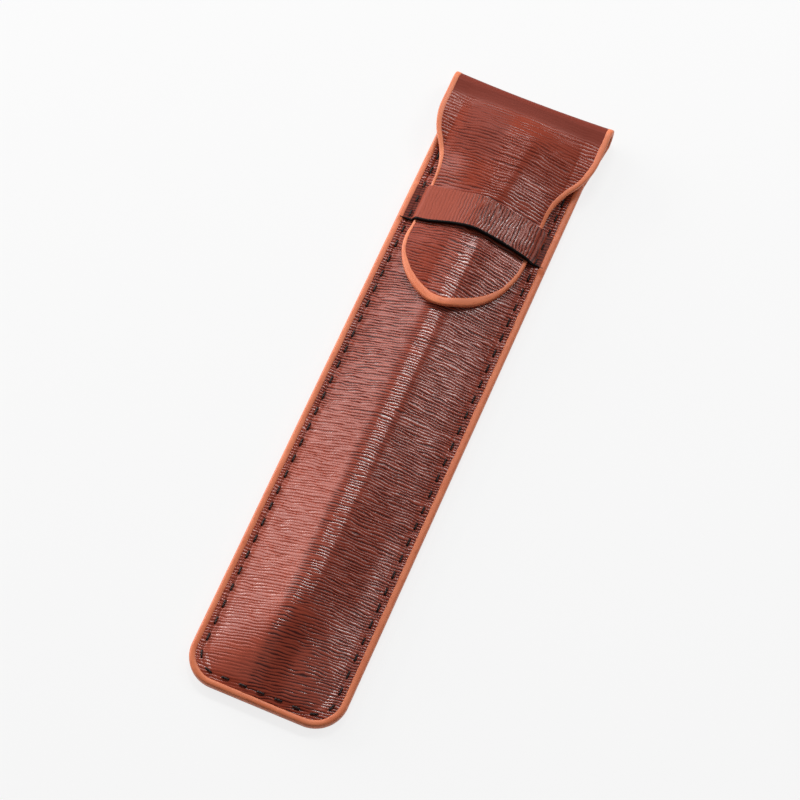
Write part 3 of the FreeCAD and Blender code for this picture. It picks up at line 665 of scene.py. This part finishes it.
# The last colour of each leather is the one the dullness mark blends towards. On the body leather it is a
# darker tone: painted shade on much of the front and flap, and rubbed leather along the seams and at the
# fold. The third colour darkens the grooves, partly as painted shade.
BODY_LEATHER = leather("embossed_leather", (184, 85, 63), (166, 72, 52), (72, 23, 18), (128, 49, 33))
STRAP_LEATHER = leather("strap_leather", (166, 76, 56), (150, 66, 48), (76, 26, 20), (158, 71, 51))
PAINT = edge_paint("orange_edge_paint", (236, 135, 92), (224, 119, 77), (188, 91, 57), 0.45)
DARK_EDGE = edge_paint("black_edge_paint", (16, 12, 12), (10, 8, 8), (6, 4, 4), 0.08)
CLOTH = fibres(
    "brown_lining", (64, 42, 36), (34, 21, 18), noise=((3200, 3200, 3200), 3, 0.65),
    lit=(0.35, 0.7), rough=(0.8, 0.95), bump=(0.00008, 0.8), specular=0.25,
)
THREAD_SKIN = fibres(
    "dark_thread", (44, 26, 23), (16, 9, 9), noise=((9000, 1600, 9000), 2),
    lit=(0.4, 0.7), rough=(0.42, 0.62), bump=(0.00003, 0.7), specular=0.5,
)
LEATHER_SKINS = [BODY_LEATHER, CLOTH, BODY_LEATHER]
STRAP_SKINS = [STRAP_LEATHER, CLOTH, STRAP_LEATHER]
CLOTH_SKINS = [CLOTH] * 3


# Pieces.


def place(piece, body, slot, *nodes):
    """Hides the CAD nodes that a piece stands for, and hangs it on a body when one is given."""
    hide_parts(*nodes)
    if body is not None:
        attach(piece, body)
    return piece


def spaced(low, high, step):
    return np.linspace(low, high, int(math.ceil((high - low) / step)) + 1)


# Steps of the grids, columns of the linings, and how far leather runs under paint.
ROW_STEP = 0.1
COLUMN_STEP = 0.4
BACK_STEP = 0.16
LINING_STEP = 1.0
FLAP_LINING_STEP = 0.5
FRONT_COLUMNS, BACK_COLUMNS, FLAP_COLUMNS = 73, 40, 60
STRAP_ROWS = 66
CROWDING = 0.28
ROW_GAP = 0.02
FLAP_UNDER = 0.45
TUCK = 0.15
FINE = (1, 1)
STRAP_COARSE = (6, 6)


def even_places(count):
    """A row of places from -1 to 1."""
    return np.linspace(-1, 1, count)[None, :]


def crowded(width):
    """Places from -1 to 1 across a width, closer together at the sides, where the stitches are."""
    even = even_places(int(width / COLUMN_STEP) + 1)
    return even * (1 + CROWDING * (1 - even ** 2))


def front_grain(x, y):
    """Grain of the front, whose ribs climb a little to the right, more so at the toe."""
    slant = GRAIN_SLANT + TOE_SLANT * ramp(y, *TOE_SLANT_ALONG)
    return grain(x, y - slant * x, FRONT_SEED)


# Painted shade and dullness of the front, from 0 to 1, and where: the toe, the right of the crest, the crest
# itself, strips beside it and patches on both sides are darker as painted shade; the seams and the bottom
# are darker and duller. UP places are from the bottom.
SEAM_DULL, SEAM_BAND = 0.35, 0.8
BOTTOM_DULL, BOTTOM_UP = 0.5, (5, 3)
TOE_SHADE, TOE_LEFT, TOE_RIGHT, TOE_EASE, TOE_UP = 0.38, -2.5, 11, 3, (46, 20)
TOE_NARROWER, TOE_NARROWER_UP = 5, (25, 15)
RIGHT_SHADE, RIGHT_ACROSS, RIGHT_ALONG, RIGHT_UP = 0.46, (0.8, 13.5, 2.5), (4, -42), (20, 32)
CREST_SHADE, CREST_SIDE_SHADES, CREST_SIDE_SHADES_UP = (0.15, 0, 1.8), ((0.32, -2.6, 1.2), (0.3, 2.9, 1.2)), (25, 45)
UPPER_SIDE_SHADES = ((0.2, (-12, -14), (-15, 0)), (0.28, (11.5, 13.5), (-45, -30)))

# Grain of the front: shallower where the leather is stretched, and with lighter grooves low on the left
# flank as painted light.
STRETCH_EASE, STRETCH_START, STRETCH_UP = 1.5, 0.3, (8, 4)
STRETCHED_FLATTER = 0.3
CREST_FLATTER, CREST_FLAT_REACH = 0.5, 2
UNEVEN_HEIGHT, UNEVEN_ACROSS, UNEVEN_ALONG = 0.06, 16, 22
PAINTED_LIGHT_LEFT, PAINTED_LIGHT_ACROSS, PAINTED_LIGHT_ALONG = 0.85, (-3, -4.5), (5, -30)


def front_wear_and_shade(x, y):
    """Mark of the front that darkens and dulls it: painted shade on its right, at the toe, on and beside the
    crest and on the sides; darker, duller seams and bottom.
    """
    up = y - BOTTOM
    toe_right = TOE_RIGHT - TOE_NARROWER * ramp(up, *TOE_NARROWER_UP)
    return np.maximum.reduce([
        SEAM_DULL * ramp(edge_inset(x, y), STITCH_INSET + SEAM_BAND, STITCH_INSET),
        BOTTOM_DULL * ramp(up, *BOTTOM_UP),
        TOE_SHADE * rise_and_fall(x, TOE_LEFT, toe_right, TOE_EASE) * ramp(up, *TOE_UP),
        RIGHT_SHADE * rise_and_fall(x, *RIGHT_ACROSS) * ramp(y, *RIGHT_ALONG) * ramp(up, *RIGHT_UP),
        bells(x, [CREST_SHADE]),
        bells(x, CREST_SIDE_SHADES) * ramp(up, *CREST_SIDE_SHADES_UP),
        *(dull * ramp(x, *across) * ramp(y, *along) for dull, across, along in UPPER_SIDE_SHADES),
    ])


def front_leather():
    rows = spaced(BOTTOM + EDGE - TUCK + ROW_GAP, PANEL_TOP, ROW_STEP)[:, None]
    x = crowded(2 * PANEL_HALF) * panel_half(rows, EDGE - TUCK)
    y = np.broadcast_to(rows, x.shape)
    stretched = smooth((front_tent(x, PLY) - front_hip(x, y)) / STRETCH_EASE + STRETCH_START)
    stretched = np.maximum(stretched, ramp(y - BOTTOM, *STRETCH_UP))
    groove = front_grain(x, y)
    crest = CREST_FLATTER * bell(x, CREST_FLAT_REACH)
    depth = GRAIN_DEPTH * (1 - STRETCHED_FLATTER * stretched) * (1 - crest)
    uneven = UNEVEN_HEIGHT * field(x / UNEVEN_ACROSS, y / UNEVEN_ALONG, UNEVEN_SEED)
    height = seam_press(x, y) - depth * groove + uneven
    top, bottom = front_point(x, y, PLY + height), front_point(x, y, LINING)
    # Painted light: the grooves are paler on the lower left flank, so that it reads lighter.
    painted_left_light = PAINTED_LIGHT_LEFT * ramp(y, *PAINTED_LIGHT_ALONG) * ramp(x, *PAINTED_LIGHT_ACROSS)
    marks = {"groove": groove * (1 - painted_left_light), "wear_and_shade": front_wear_and_shade(x, y)}
    return shell("front_leather", top, bottom, joined(x, y), LEATHER_SKINS, marks)


def front_lining():
    rows = spaced(BOTTOM + EDGE, PANEL_TOP, LINING_STEP)[:, None]
    x = even_places(FRONT_COLUMNS) * panel_half(rows, EDGE)
    y = np.broadcast_to(rows, x.shape)
    top, bottom = front_point(x, y, LINING), front_point(x, y, 0.0)
    return shell("front_lining_cloth", top, bottom, joined(x, y), CLOTH_SKINS, coarse=FINE)


def back_half(y):
    """Half-width of the back: the sewn outline, then wider from the mouth to the fold."""
    widening = np.clip((y - MOUTH) / (FOLD_Y - MOUTH), 0, 1)
    return panel_half(y, EDGE) + (FOLD_HALF - PANEL_HALF) * widening


BACK_GRAIN_EASE = 3


def back_leather():
    rows = spaced(BOTTOM + EDGE + ROW_GAP, FOLD_Y, BACK_STEP)[:, None]
    x = -crowded(2 * PANEL_HALF) * (back_half(rows) + TUCK)
    y = np.broadcast_to(rows, x.shape)
    groove = grain(x, y, BACK_SEED) * smooth((FOLD_Y - y) / BACK_GRAIN_EASE)
    top = joined(x, y, GRAIN_DEPTH * groove - seam_press(x, y))
    bottom = joined(x, y, LEATHER)
    return shell("back_leather", top, bottom, joined(x, y), LEATHER_SKINS, {"groove": groove})


def back_lining():
    rows = spaced(BOTTOM + EDGE, FOLD_Y, LINING_STEP)[:, None]
    x = even_places(BACK_COLUMNS) * back_half(rows)
    y = np.broadcast_to(rows, x.shape)
    top = joined(x, y, PLY)
    bottom = joined(x, y, LEATHER)
    return shell("back_lining_cloth", top, bottom, joined(x, y), CLOTH_SKINS, coarse=FINE)


def flap_rows(step, inset):
    """Runs from the back, round the fold and down to the tip, and the inset half-width at each."""
    runs = spaced(0, FOLD_RUN + FOLD_Y - TIP - inset - ROW_GAP, step)[:, None]
    return runs, flap_half(FOLD_Y - np.maximum(runs - FOLD_RUN, 0), inset)


# Painted shade and dullness of the flap: a darker, duller flap above the strap as painted shade, less of it
# where the flap is lit and more where it is shaded, painted shade on the tongue's left and in bands beside
# its crest, and a darker, duller bend at the fold. ABOVE places are from the strap's upper side, PAST ones
# from the fold's end.
TONGUE_ABOVE, TONGUE_LEFT = (3, -3), (-1, -7)
BENT_RUN, BENT_PAST = (0, 3), (6, 2)
FLAP_SHADE, LIT_LESS, SHADED_MORE, TONGUE_LEFT_SHADE = 0.5, 0.3, 0.25, 0.48
LIT_LEFT, LIT_LEFT_ABOVE = (-6, -10), (14, 6)
LIT_RIGHT, LIT_RIGHT_ABOVE = (3, 14, 3), (13, 7)
SHADED_ACROSS, SHADED_ABOVE, SHADED_BELOW, SHADED_EASE = (-15, -1, 3), 9, 2, 4
TONGUE_SHADE_BANDS = ((0.6, -5.5, 2.2), (0.2, 0.8, 2), (0.42, 5.2, 1.8))

# Grain of the flap: fainter near the fold, and fullest on the right of the tongue.
FOLD_FAINT, FOLD_FAINT_PAST = 0.6, (14, 4)
FAINT_LESS, FLAP_GRAIN, TONGUE_GRAIN = 0.8, 0.7, 0.3


def flap_leather():
    runs, half = flap_rows(ROW_STEP, FLAP_UNDER)
    x = -even_places(int(2 * FOLD_HALF / COLUMN_STEP) + 1) * half
    run = np.broadcast_to(runs, x.shape)
    past, y = run - FOLD_RUN, FOLD_Y + FOLD_RUN - run
    above = y - STRAP_HIGH
    tongue, left = ramp(above, *TONGUE_ABOVE), ramp(x, *TONGUE_LEFT)
    bent = ramp(run, *BENT_RUN) * ramp(past, *BENT_PAST)
    lit_left = ramp(x, *LIT_LEFT) * ramp(above, *LIT_LEFT_ABOVE)
    lit = np.maximum(lit_left, rise_and_fall(x, *LIT_RIGHT) * ramp(above, *LIT_RIGHT_ABOVE))
    shaded_along = rise_and_fall(y, STRAP_HIGH + SHADED_ABOVE, FOLD_Y - SHADED_BELOW, SHADED_EASE)
    shaded = rise_and_fall(x, *SHADED_ACROSS) * shaded_along
    # Painted shade over the flap above the strap, lighter where it is lit and darker where it is shaded.
    flap_shade = FLAP_SHADE - LIT_LESS * lit + SHADED_MORE * shaded
    # Painted shade on the tongue's left and in bands beside its crest.
    tongue_shade = np.maximum(TONGUE_LEFT_SHADE * left, bells(x, TONGUE_SHADE_BANDS))
    wear_and_shade = np.maximum(bent, flap_shade * (1 - tongue) + tongue_shade * tongue)
    faint = np.maximum(bent, FOLD_FAINT * ramp(past, *FOLD_FAINT_PAST))
    groove = grain(x, GRAIN_STRETCH * run, FLAP_SEED) * (1 - FAINT_LESS * faint)
    groove = groove * (FLAP_GRAIN + TONGUE_GRAIN * tongue * (1 - left))
    depth = GRAIN_DEPTH * (1 - CREST_FLATTER * tongue * bell(x - CREST_DRIFT, CREST_FLAT_REACH))
    top, bottom = flap_point(x, run, PLY - depth * groove), flap_point(x, run, LINING)
    marks = {"groove": groove, "wear_and_shade": wear_and_shade}
    return shell("flap_leather", top, bottom, joined(x, run), LEATHER_SKINS, marks)


def flap_lining():
    runs, half = flap_rows(FLAP_LINING_STEP, FLAP_EDGE)
    x = -even_places(FLAP_COLUMNS) * half
    run = np.broadcast_to(runs, x.shape)
    top, bottom = flap_point(x, run, LINING), flap_point(x, run, 0.0)
    return shell("flap_lining_cloth", top, bottom, joined(x, run), CLOTH_SKINS, coarse=FINE)


# Steps along the painted edges.
EDGE_STEP = 0.6
FOLD_EDGE_STEP = 0.35
CORNER_STEP = 0.3
MOUTH_STEP = 0.5


def arc_stretch(centre, radius, first, last, outward, step=EDGE_STEP):
    """Places and outward directions along an arc of the plan, between two angles."""
    angle = np.linspace(first, last, max(int(abs(last - first) * radius / step), 2))
    ray = joined(np.cos(angle), np.sin(angle))
    return np.array(centre) + radius * ray, ray * outward


def line_stretch(start, end, normal, step=EDGE_STEP):
    start, end = np.array(start), np.array(end)
    share = np.linspace(0, 1, max(int(np.linalg.norm(end - start) / step), 2))[:, None]
    return start + (end - start) * share, np.broadcast_to(np.array(normal, float), (len(share), 2))


def join_stretches(stretches):
    """One path from several stretches, without the places that they share."""
    return [np.concatenate([part[:-1] for part in parts] + [parts[-1][-1:]]) for parts in zip(*stretches)]


def mirrored(places, normals):
    """A right-hand path followed by its mirror image on the left, back to the start."""
    flip = np.array([-1.0, 1.0])
    return np.concatenate([places, places[-2::-1] * flip]), np.concatenate([normals, normals[-2::-1] * flip])


def flap_path():
    """Outer outline of the flap, with the fold laid out flat, from one end of the fold to the other."""
    right = (1.0, 0.0)
    return mirrored(*join_stretches([
        line_stretch((FLAP_HALF, FOLD_Y + FOLD_RUN), (FLAP_HALF, FOLD_Y), right, FOLD_EDGE_STEP),
        line_stretch((FLAP_HALF, FOLD_Y), (FLAP_HALF, SHOULDER_Y), right),
        arc_stretch((FLAP_HALF - BEND, SHOULDER_Y), BEND, 0, -BEND_TURN, 1),
        arc_stretch((TONGUE_HALF + BEND, WAIST_Y), BEND, math.pi - BEND_TURN, math.pi, -1),
        line_stretch((TONGUE_HALF, WAIST_Y), (TONGUE_HALF, SIDE_Y), right),
        arc_stretch((TONGUE_HALF - TONGUE_SIDE, SIDE_Y), TONGUE_SIDE, 0, -SIDE_TURN, 1),
        arc_stretch((0, TIP_Y), TONGUE_TIP, -SIDE_TURN, -math.pi / 2, 1),
    ]))


# Painted bands: how far they lap over leather and stand above it, and waves of their inner border.
BAND_LAP = 0.15
BAND_CROWN = 0.08
BAND_WAVES = ((0.12, 3.1), (0.07, 0.9))
WAVE_ROW = 0.5

# Width of the flap's band along it: widest round the tip, thin at the strap.
FLAP_BAND = {
    TIP: 2.15, TIP + 4: 1.95, TIP + 11: 1.0, STRAP_LOW: 0.85,
    STRAP_HIGH: 0.85, STRAP_HIGH + 12: 1.2, STRAP_HIGH + 20: 1.6,
}

# Swelling of the body's band over the strap's ends.
SWELL_REACH, SWELL_EASE = 0.9, 1.1
SWELL_SHARE, SWELL_INWARD = 0.8, 0.25


def ragged(path, width, inward, seed):
    """Inset of a painted band whose inner border wanders a little along the path."""
    run = np.concatenate([[0], np.cumsum(np.linalg.norm(np.diff(path, axis=0), axis=1))])[:, None]
    wander = sum(share * field(run / length, WAVE_ROW, seed + number)
                 for number, (share, length) in enumerate(BAND_WAVES))
    return (width + wander) * inward


def flap_paint():
    """Painted edge of the fold and flap, rounded over both faces."""
    places, normals = flap_path()
    outward, upward = rounded_ring(20, squareness=0.5)
    width = np.interp(places[:, 1:], list(FLAP_BAND), list(FLAP_BAND.values()))
    inset = ragged(places, width, (1 - outward) / 2, FLAP_BAND_SEED)
    lift = PLY / 2 + (PLY / 2 + BAND_CROWN) * upward
    spots = places[:, None, :] - normals[:, None, :] * inset[..., None]
    rings = flap_point(spots[..., 0], FOLD_RUN + FOLD_Y - spots[..., 1], lift)
    return sweep("flap_edge_paint", [rings], PAINT)


def mouth_paint():
    outward, upward = rounded_ring(14)
    x = spaced(-PANEL_HALF, PANEL_HALF, MOUTH_STEP)[:, None]
    depth = (MOUTH - PANEL_TOP + BAND_LAP) / 2
    y = MOUTH - depth + depth * outward
    lift = PLY / 2 + (PLY / 2 + BAND_CROWN / 2) * upward
    return sweep("mouth_edge_paint", [front_point(x, y, lift)], PAINT)


def body_path():
    """Inner line of the body's painted edge, from the mouth round the bottom to the mouth."""
    radius = CORNER - EDGE
    corner = (PANEL_HALF - radius, BOTTOM + CORNER)
    return mirrored(*join_stretches([
        line_stretch((PANEL_HALF, MOUTH), (PANEL_HALF, corner[1]), (1.0, 0.0)),
        arc_stretch(corner, radius, 0, -math.pi / 2, 1, CORNER_STEP),
        line_stretch((corner[0], BOTTOM + EDGE), (0, BOTTOM + EDGE), (0.0, -1.0)),
    ]))


def body_paint():
    """Painted bead round the sewn plies; it swells over the ends of the strap."""
    places, normals = body_path()
    outward, upward = rounded_ring(24, squareness=0.66)
    reach = EDGE - ragged(places, EDGE + BAND_LAP, (1 - outward) / 2, BODY_BAND_SEED)
    spots = places[:, None, :] + normals[:, None, :] * reach[..., None]
    over_strap = rise_and_fall(spots[..., 1], STRAP_LOW - SWELL_REACH, STRAP_HIGH + SWELL_REACH, SWELL_EASE)
    round_bead = np.maximum(upward, 0) * (SWELL_SHARE - SWELL_INWARD * outward)
    z = (SEAM + BAND_CROWN) / 2 * (1 + upward) + STRAP_SKIVED * over_strap * round_bead
    return sweep("body_edge_paint", [np.concatenate([spots, z[..., None]], -1)], PAINT)


BACK_PAINT_LAP = 0.4


def back_paint():
    """Painted sides of the bare back between the mouth and the fold."""
    outward, upward = rounded_ring(16)
    y = spaced(MOUTH - BACK_PAINT_LAP, FOLD_Y, EDGE_STEP)[:, None]
    width = EDGE + (FLAP_EDGE - EDGE) * np.clip((y - MOUTH) / (FOLD_Y - MOUTH), 0, 1)
    half = (width + BAND_LAP) / 2
    x = back_half(y) - BAND_LAP + half * (1 + outward)
    z = (PLY + BAND_CROWN) / 2 * (1 + upward)
    right = joined(x, y, z)
    left = joined(-x, y, z)[:, ::-1]
    return sweep("back_edge_paint", [right, left], PAINT)


# Strap: how it gapes, how its lower side bends, its dark edges (the lower one widened by painted shadow),
# dullness and grain.
GAPES = ((0.35, 9.5, 5.5), (0.15, -4, 5))
FOOT_BENDS = ((-0.4, -12, 4), (0.5, 3, 11))
FOOT_DRAWN, FOOT_DRAWN_ACROSS = 0.6, (15.3, 17.3)
BAND_WIDTH, BAND_WIDER_BY_SHADOW = 0.6, (0.16, 6, 9)
BAND_LEAST, BAND_PAST_PANEL = 0.4, (0.6, -1.9)
BAND_UNDER = 0.6
STRAP_DULL_LESS, STRAP_DULL_ACROSS, SEWN_DULL = 0.66, (-9, 3), 0.9
STRAP_GRAIN_LESS, STRAP_GRAIN_MOST = 1.25, 0.9
SEWN_GROOVE, SEWN_GRAIN = 0.3, 0.7
STRAP_EDGE_REACH, STRAP_EDGE_STEP = 0.9, 0.3
LOW_EDGE_TOP, HIGH_EDGE_TOP = 1.06, 0.7
HIGH_EDGE_INSET, HIGH_EDGE_HALF = 0.15, 0.1


def strap_point(x, y, lift):
    """Point of the strap, thinned where it is sewn down; its lower side gapes a little off the tongue."""
    past = past_end(x)
    low_side = ramp(y, STRAP_HIGH, STRAP_LOW)
    gape = low_side * ramp(past, *GAPE_PAST) * bells(x, GAPES)
    thin = STRAP_SKIVED / LEATHER + (1 - STRAP_SKIVED / LEATHER) * ramp(past, *SKIVE_PAST)
    return joined(x, y, strap_height(x) + gape + lift * thin)


def strap_band(x):
    """Width of the strap's dark lower edge: black edge paint, widened right of the middle as painted shadow
    from under the strap, tapered on to the painted bead.
    """
    full = BAND_WIDTH + bells(x, [BAND_WIDER_BY_SHADOW])
    return full * (BAND_LEAST + (1 - BAND_LEAST) * ramp(np.abs(x) - PANEL_HALF, *BAND_PAST_PANEL))


def strap_foot(x):
    """Lower side of the strap in plan: it hangs on the left, and is drawn up in the middle and right."""
    return STRAP_LOW + bells(x, FOOT_BENDS) + FOOT_DRAWN * ramp(x, *FOOT_DRAWN_ACROSS)


def strap_leather():
    columns = spaced(-PANEL_HALF - TUCK, PANEL_HALF + TUCK, ROW_STEP)[None, :]
    share = np.linspace(0, 1, STRAP_ROWS)[:, None]
    low = strap_foot(columns) + BAND_UNDER * strap_band(columns)
    x, y = np.broadcast_arrays(columns, low + (STRAP_HIGH - low) * share)
    sewn = ramp(past_end(x), *SEWN_PAST)
    wear_and_shade = np.maximum(1 - STRAP_DULL_LESS * ramp(x, *STRAP_DULL_ACROSS), SEWN_DULL * sewn)
    strength = np.minimum(STRAP_GRAIN_LESS - wear_and_shade, STRAP_GRAIN_MOST)
    groove = grain(y, GRAIN_STRETCH * x, STRAP_SEED) * strength * (1 - sewn)
    groove = groove + (SEWN_GROOVE + SEWN_GRAIN * front_grain(x, y)) * sewn
    top = strap_point(x, y, LEATHER - GRAIN_DEPTH * groove + seam_press(x, y))
    bottom = strap_point(x, y, 0.0)
    marks = {"groove": groove, "wear_and_shade": wear_and_shade}
    return shell("strap_leather", top, bottom, joined(y, x), STRAP_SKINS, marks, STRAP_COARSE)


def strap_edges():
    """Dark edges of the strap: a full one below, partly black edge paint and partly painted shadow, tapered
    on to the painted bead, and a hidden one above.
    """
    outward, upward = rounded_ring(16, squareness=0.6)
    reach = PANEL_HALF + STRAP_EDGE_REACH
    x = spaced(-reach, reach, STRAP_EDGE_STEP)[:, None]
    low = strap_foot(x) + strap_band(x) * (1 + outward) / 2
    high = STRAP_HIGH - HIGH_EDGE_INSET + HIGH_EDGE_HALF * outward
    tubes = []
    for y, top in ((low, LOW_EDGE_TOP), (high, HIGH_EDGE_TOP)):
        lift = LEATHER * top * (1 + upward) / 2
        tubes.append(strap_point(x, y, lift)[:, ::-1])
    return sweep("strap_edge_paint", tubes, DARK_EDGE)


def stitch_places():
    """Middle and heading of each stitch along the U-shaped seam, even about its lowest point."""
    half = HALF_WIDTH - STITCH_INSET
    bottom = BOTTOM + STITCH_INSET
    radius = CORNER - STITCH_INSET
    flat = half - radius
    corner = radius * math.pi / 2
    side = MOUTH - STITCH_TOP_GAP - bottom - radius
    count = int((flat + corner + side - STITCH_LENGTH / 2) / STITCH_PITCH)
    for number in range(-count, count + 1):
        run = abs(number) * STITCH_PITCH
        sign = 1 if number >= 0 else -1
        if run <= flat:
            x, y, angle = run, bottom, 0.0
        elif run <= flat + corner:
            angle = (run - flat) / radius
            x = flat + radius * math.sin(angle)
            y = bottom + radius * (1 - math.cos(angle))
        else:
            x, y, angle = half, bottom + radius + run - flat - corner, math.pi / 2
        yield sign * x, y, sign * angle


# Strands of a stitch: their radius and the reach of their twist are shares of the thread.
STRAND_RINGS, STRAND_AROUND = 17, 8
STRAND_RADIUS = 0.3
TWIST_ACROSS, TWIST_UP, TWIST_PITCH = 0.24, 0.2, 1.5
DIVE_REACH, DIVE_DEPTH, DIVE_POWER = 0.12, 0.5, 6
BACK_SUNK = 0.08


def stitch_strands(x, y, angle, z, up):
    """Two twisted strands of one stitch that bows up from one hole and dives into the next."""
    reach = STITCH_LENGTH / 2 + DIVE_REACH
    along = np.linspace(-reach, reach, STRAND_RINGS)[:, None]
    around = np.linspace(0, 2 * math.pi, STRAND_AROUND, endpoint=False)[None, :]
    height = THREAD / 2 - DIVE_DEPTH * (along / reach) ** DIVE_POWER
    heading = np.array([math.cos(angle), math.sin(angle)])
    aside = np.array([-heading[1], heading[0]])
    tubes = []
    for strand in (0, math.pi):
        twist = strand + 2 * math.pi * along / TWIST_PITCH
        across = THREAD * (TWIST_ACROSS * np.cos(twist) + STRAND_RADIUS * np.cos(around))
        above = height + THREAD * (TWIST_UP * np.sin(twist) + STRAND_RADIUS * np.sin(around))
        plan = np.array([x, y]) + along[..., None] * heading + across[..., None] * aside
        tube = np.concatenate([plan, (z + up * above)[..., None]], -1)
        tubes.append(tube if up > 0 else tube[:, ::-1])
    return tubes


def front_threads():
    """Stitches of the front and over the strap's ends; none crosses a side of the strap."""
    tubes = []
    reach = STITCH_LENGTH / 2
    for x, y, angle in stitch_places():
        if y + reach < STRAP_LOW or y - reach > STRAP_HIGH:
            spot = np.array(x), np.array(y)
            surface = front_point(*spot, PLY + seam_press(*spot))
            tubes += stitch_strands(x, y, angle, surface[2], 1)
        elif STRAP_LOW < y - reach and y + reach < STRAP_HIGH:
            tubes += stitch_strands(x, y, angle, SEAM + STRAP_SKIVED - CHANNEL_DEPTH, 1)
    return sweep("front_threads", tubes, THREAD_SKIN)


def back_threads():
    tubes = []
    for x, y, angle in stitch_places():
        tubes += stitch_strands(x, y, angle, CHANNEL_DEPTH + BACK_SUNK, -1)
    return sweep("back_threads", tubes, THREAD_SKIN)


def add_body():
    place(front_leather(), "sleeve", "brown_leather", "front_panel")
    place(front_lining(), "sleeve", "dark_lining", "front_lining")
    place(back_leather(), "sleeve", "brown_leather", "back_panel")
    place(back_lining(), "sleeve", "dark_lining", "back_lining")
    place(body_paint(), "sleeve", "edge_paint", "body_edge", "keeper_ends")
    place(back_paint(), "sleeve", "edge_paint", "back_edges")
    place(mouth_paint(), "sleeve", "edge_paint", "mouth_edge")
    place(strap_leather(), "sleeve", "brown_leather", "keeper_strap")
    place(strap_edges(), "sleeve", "dark_edge", "keeper_edges")
    place(front_threads(), "sleeve", "sewing_thread", "front_stitches")
    place(back_threads(), "sleeve", "sewing_thread", "back_stitches")


def add_flap():
    """Fold and flap: one run of leather that starts on the back and goes round the fold to the tip; each
    piece's transform is baked in.
    """
    pieces = (
        place(flap_leather(), None, "brown_leather", "flap_panel", "fold_panel"),
        place(flap_lining(), None, "dark_lining", "flap_lining", "fold_lining"),
        place(flap_paint(), None, "edge_paint", "flap_edge", "fold_edges"),
    )
    for piece in pieces:
        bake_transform(piece)


# Stage, in metres. Each lamp has a direction, a size across and along the sleeve, and a power.

FLOOR_SIZE = 40
FLOOR_Z = -0.0002
FLOOR_COLOUR = (0.86, 0.86, 0.86, 1)
FLOOR_GLOW = 0.8
WORLD_STRENGTH = 0.15
LAMP_DISTANCE = 0.9
LAMPS = (
    ("low_softbox", (-0.93, 0.3, 0.2), 0.25, 0.8, 6.5),
    ("left_softbox", (-0.66, 0.55, 0.51), 0.32, 1.2, 2.4),
    ("top_softbox", (-0.14, 0.62, 0.77), 0.36, 0.07, 3.0),
    ("right_softbox", (0.46, 0.6, 0.65), 0.3, 0.07, 1.6),
)


def add_floor():
    """Pale floor that looks white and still takes the sleeve's shadow."""
    bpy.ops.mesh.primitive_plane_add(size=FLOOR_SIZE, location=(0, 0, FLOOR_Z))
    floor = bpy.context.object
    floor.name = "floor"
    skin = Skin("pale_floor")
    skin.tree.nodes.clear()
    path = skin.add("ShaderNodeLightPath", {})
    seen = path.outputs["Is Camera Ray"]
    for name in ("Is Glossy Ray", "Is Transmission Ray"):
        seen = skin.combine("MAXIMUM", seen, path.outputs[name])
    share = skin.combine("MULTIPLY", seen, FLOOR_GLOW)
    diffuse = skin.add("ShaderNodeBsdfDiffuse", {"Color": FLOOR_COLOUR}).outputs[0]
    glow = skin.add("ShaderNodeEmission", {"Strength": 1.0}).outputs[0]
    surface = skin.add("ShaderNodeMixShader", {"Fac": share, 1: diffuse, 2: glow}).outputs[0]
    skin.add("ShaderNodeOutputMaterial", {"Surface": surface})
    floor.data.materials.append(skin.material)


def add_aimed(name, data, at, axes):
    """Adds a lamp or camera at a place in metres, with its own axes along three directions."""
    thing = bpy.data.objects.new(name, data)
    thing.matrix_world = Matrix.Translation(at) @ Matrix(axes).transposed().to_4x4()
    bpy.context.scene.collection.objects.link(thing)
    return thing


def add_lamp(name, towards, across, along, power):
    """Soft box that faces the sleeve from a direction, with one side in the plane across the sleeve."""
    data = bpy.data.lights.new(name, "AREA")
    data.shape = "RECTANGLE"
    data.size = across
    data.size_y = along
    data.energy = power
    aim = Vector(towards).normalized()
    side = Vector((0, 1, 0)).cross(aim).normalized()
    add_aimed(name, data, aim * LAMP_DISTANCE, (side, aim.cross(side), aim))


def add_light():
    world = bpy.data.worlds.new("studio")
    world.use_nodes = True
    background = world.node_tree.nodes["Background"]
    background.inputs["Color"].default_value = (1, 1, 1, 1)
    background.inputs["Strength"].default_value = WORLD_STRENGTH
    bpy.context.scene.world = world
    for lamp in LAMPS:
        add_lamp(*lamp)


# Camera solved on the photograph, in millimetres.
CAMERA_AT = Vector((99.5, -265.2, 644.8))
CAMERA_TARGET = Vector((0.2, -1.4, 0.0))
CAMERA_UP = Vector((-0.3659, 0.8402, 0.4001))
CAMERA_LENS = 132.7
CAMERA_SENSOR = 36


def add_camera():
    data = bpy.data.cameras.new("camera")
    data.lens = CAMERA_LENS
    data.sensor_width = CAMERA_SENSOR
    forward = (CAMERA_TARGET - CAMERA_AT).normalized()
    right = forward.cross(CAMERA_UP).normalized()
    axes = (right, right.cross(forward), -forward)
    bpy.context.scene.camera = add_aimed("camera", data, CAMERA_AT * MM, axes)


bpy.context.scene.view_settings.view_transform = "Standard"
add_floor()
add_light()
add_camera()
add_body()
add_flap()
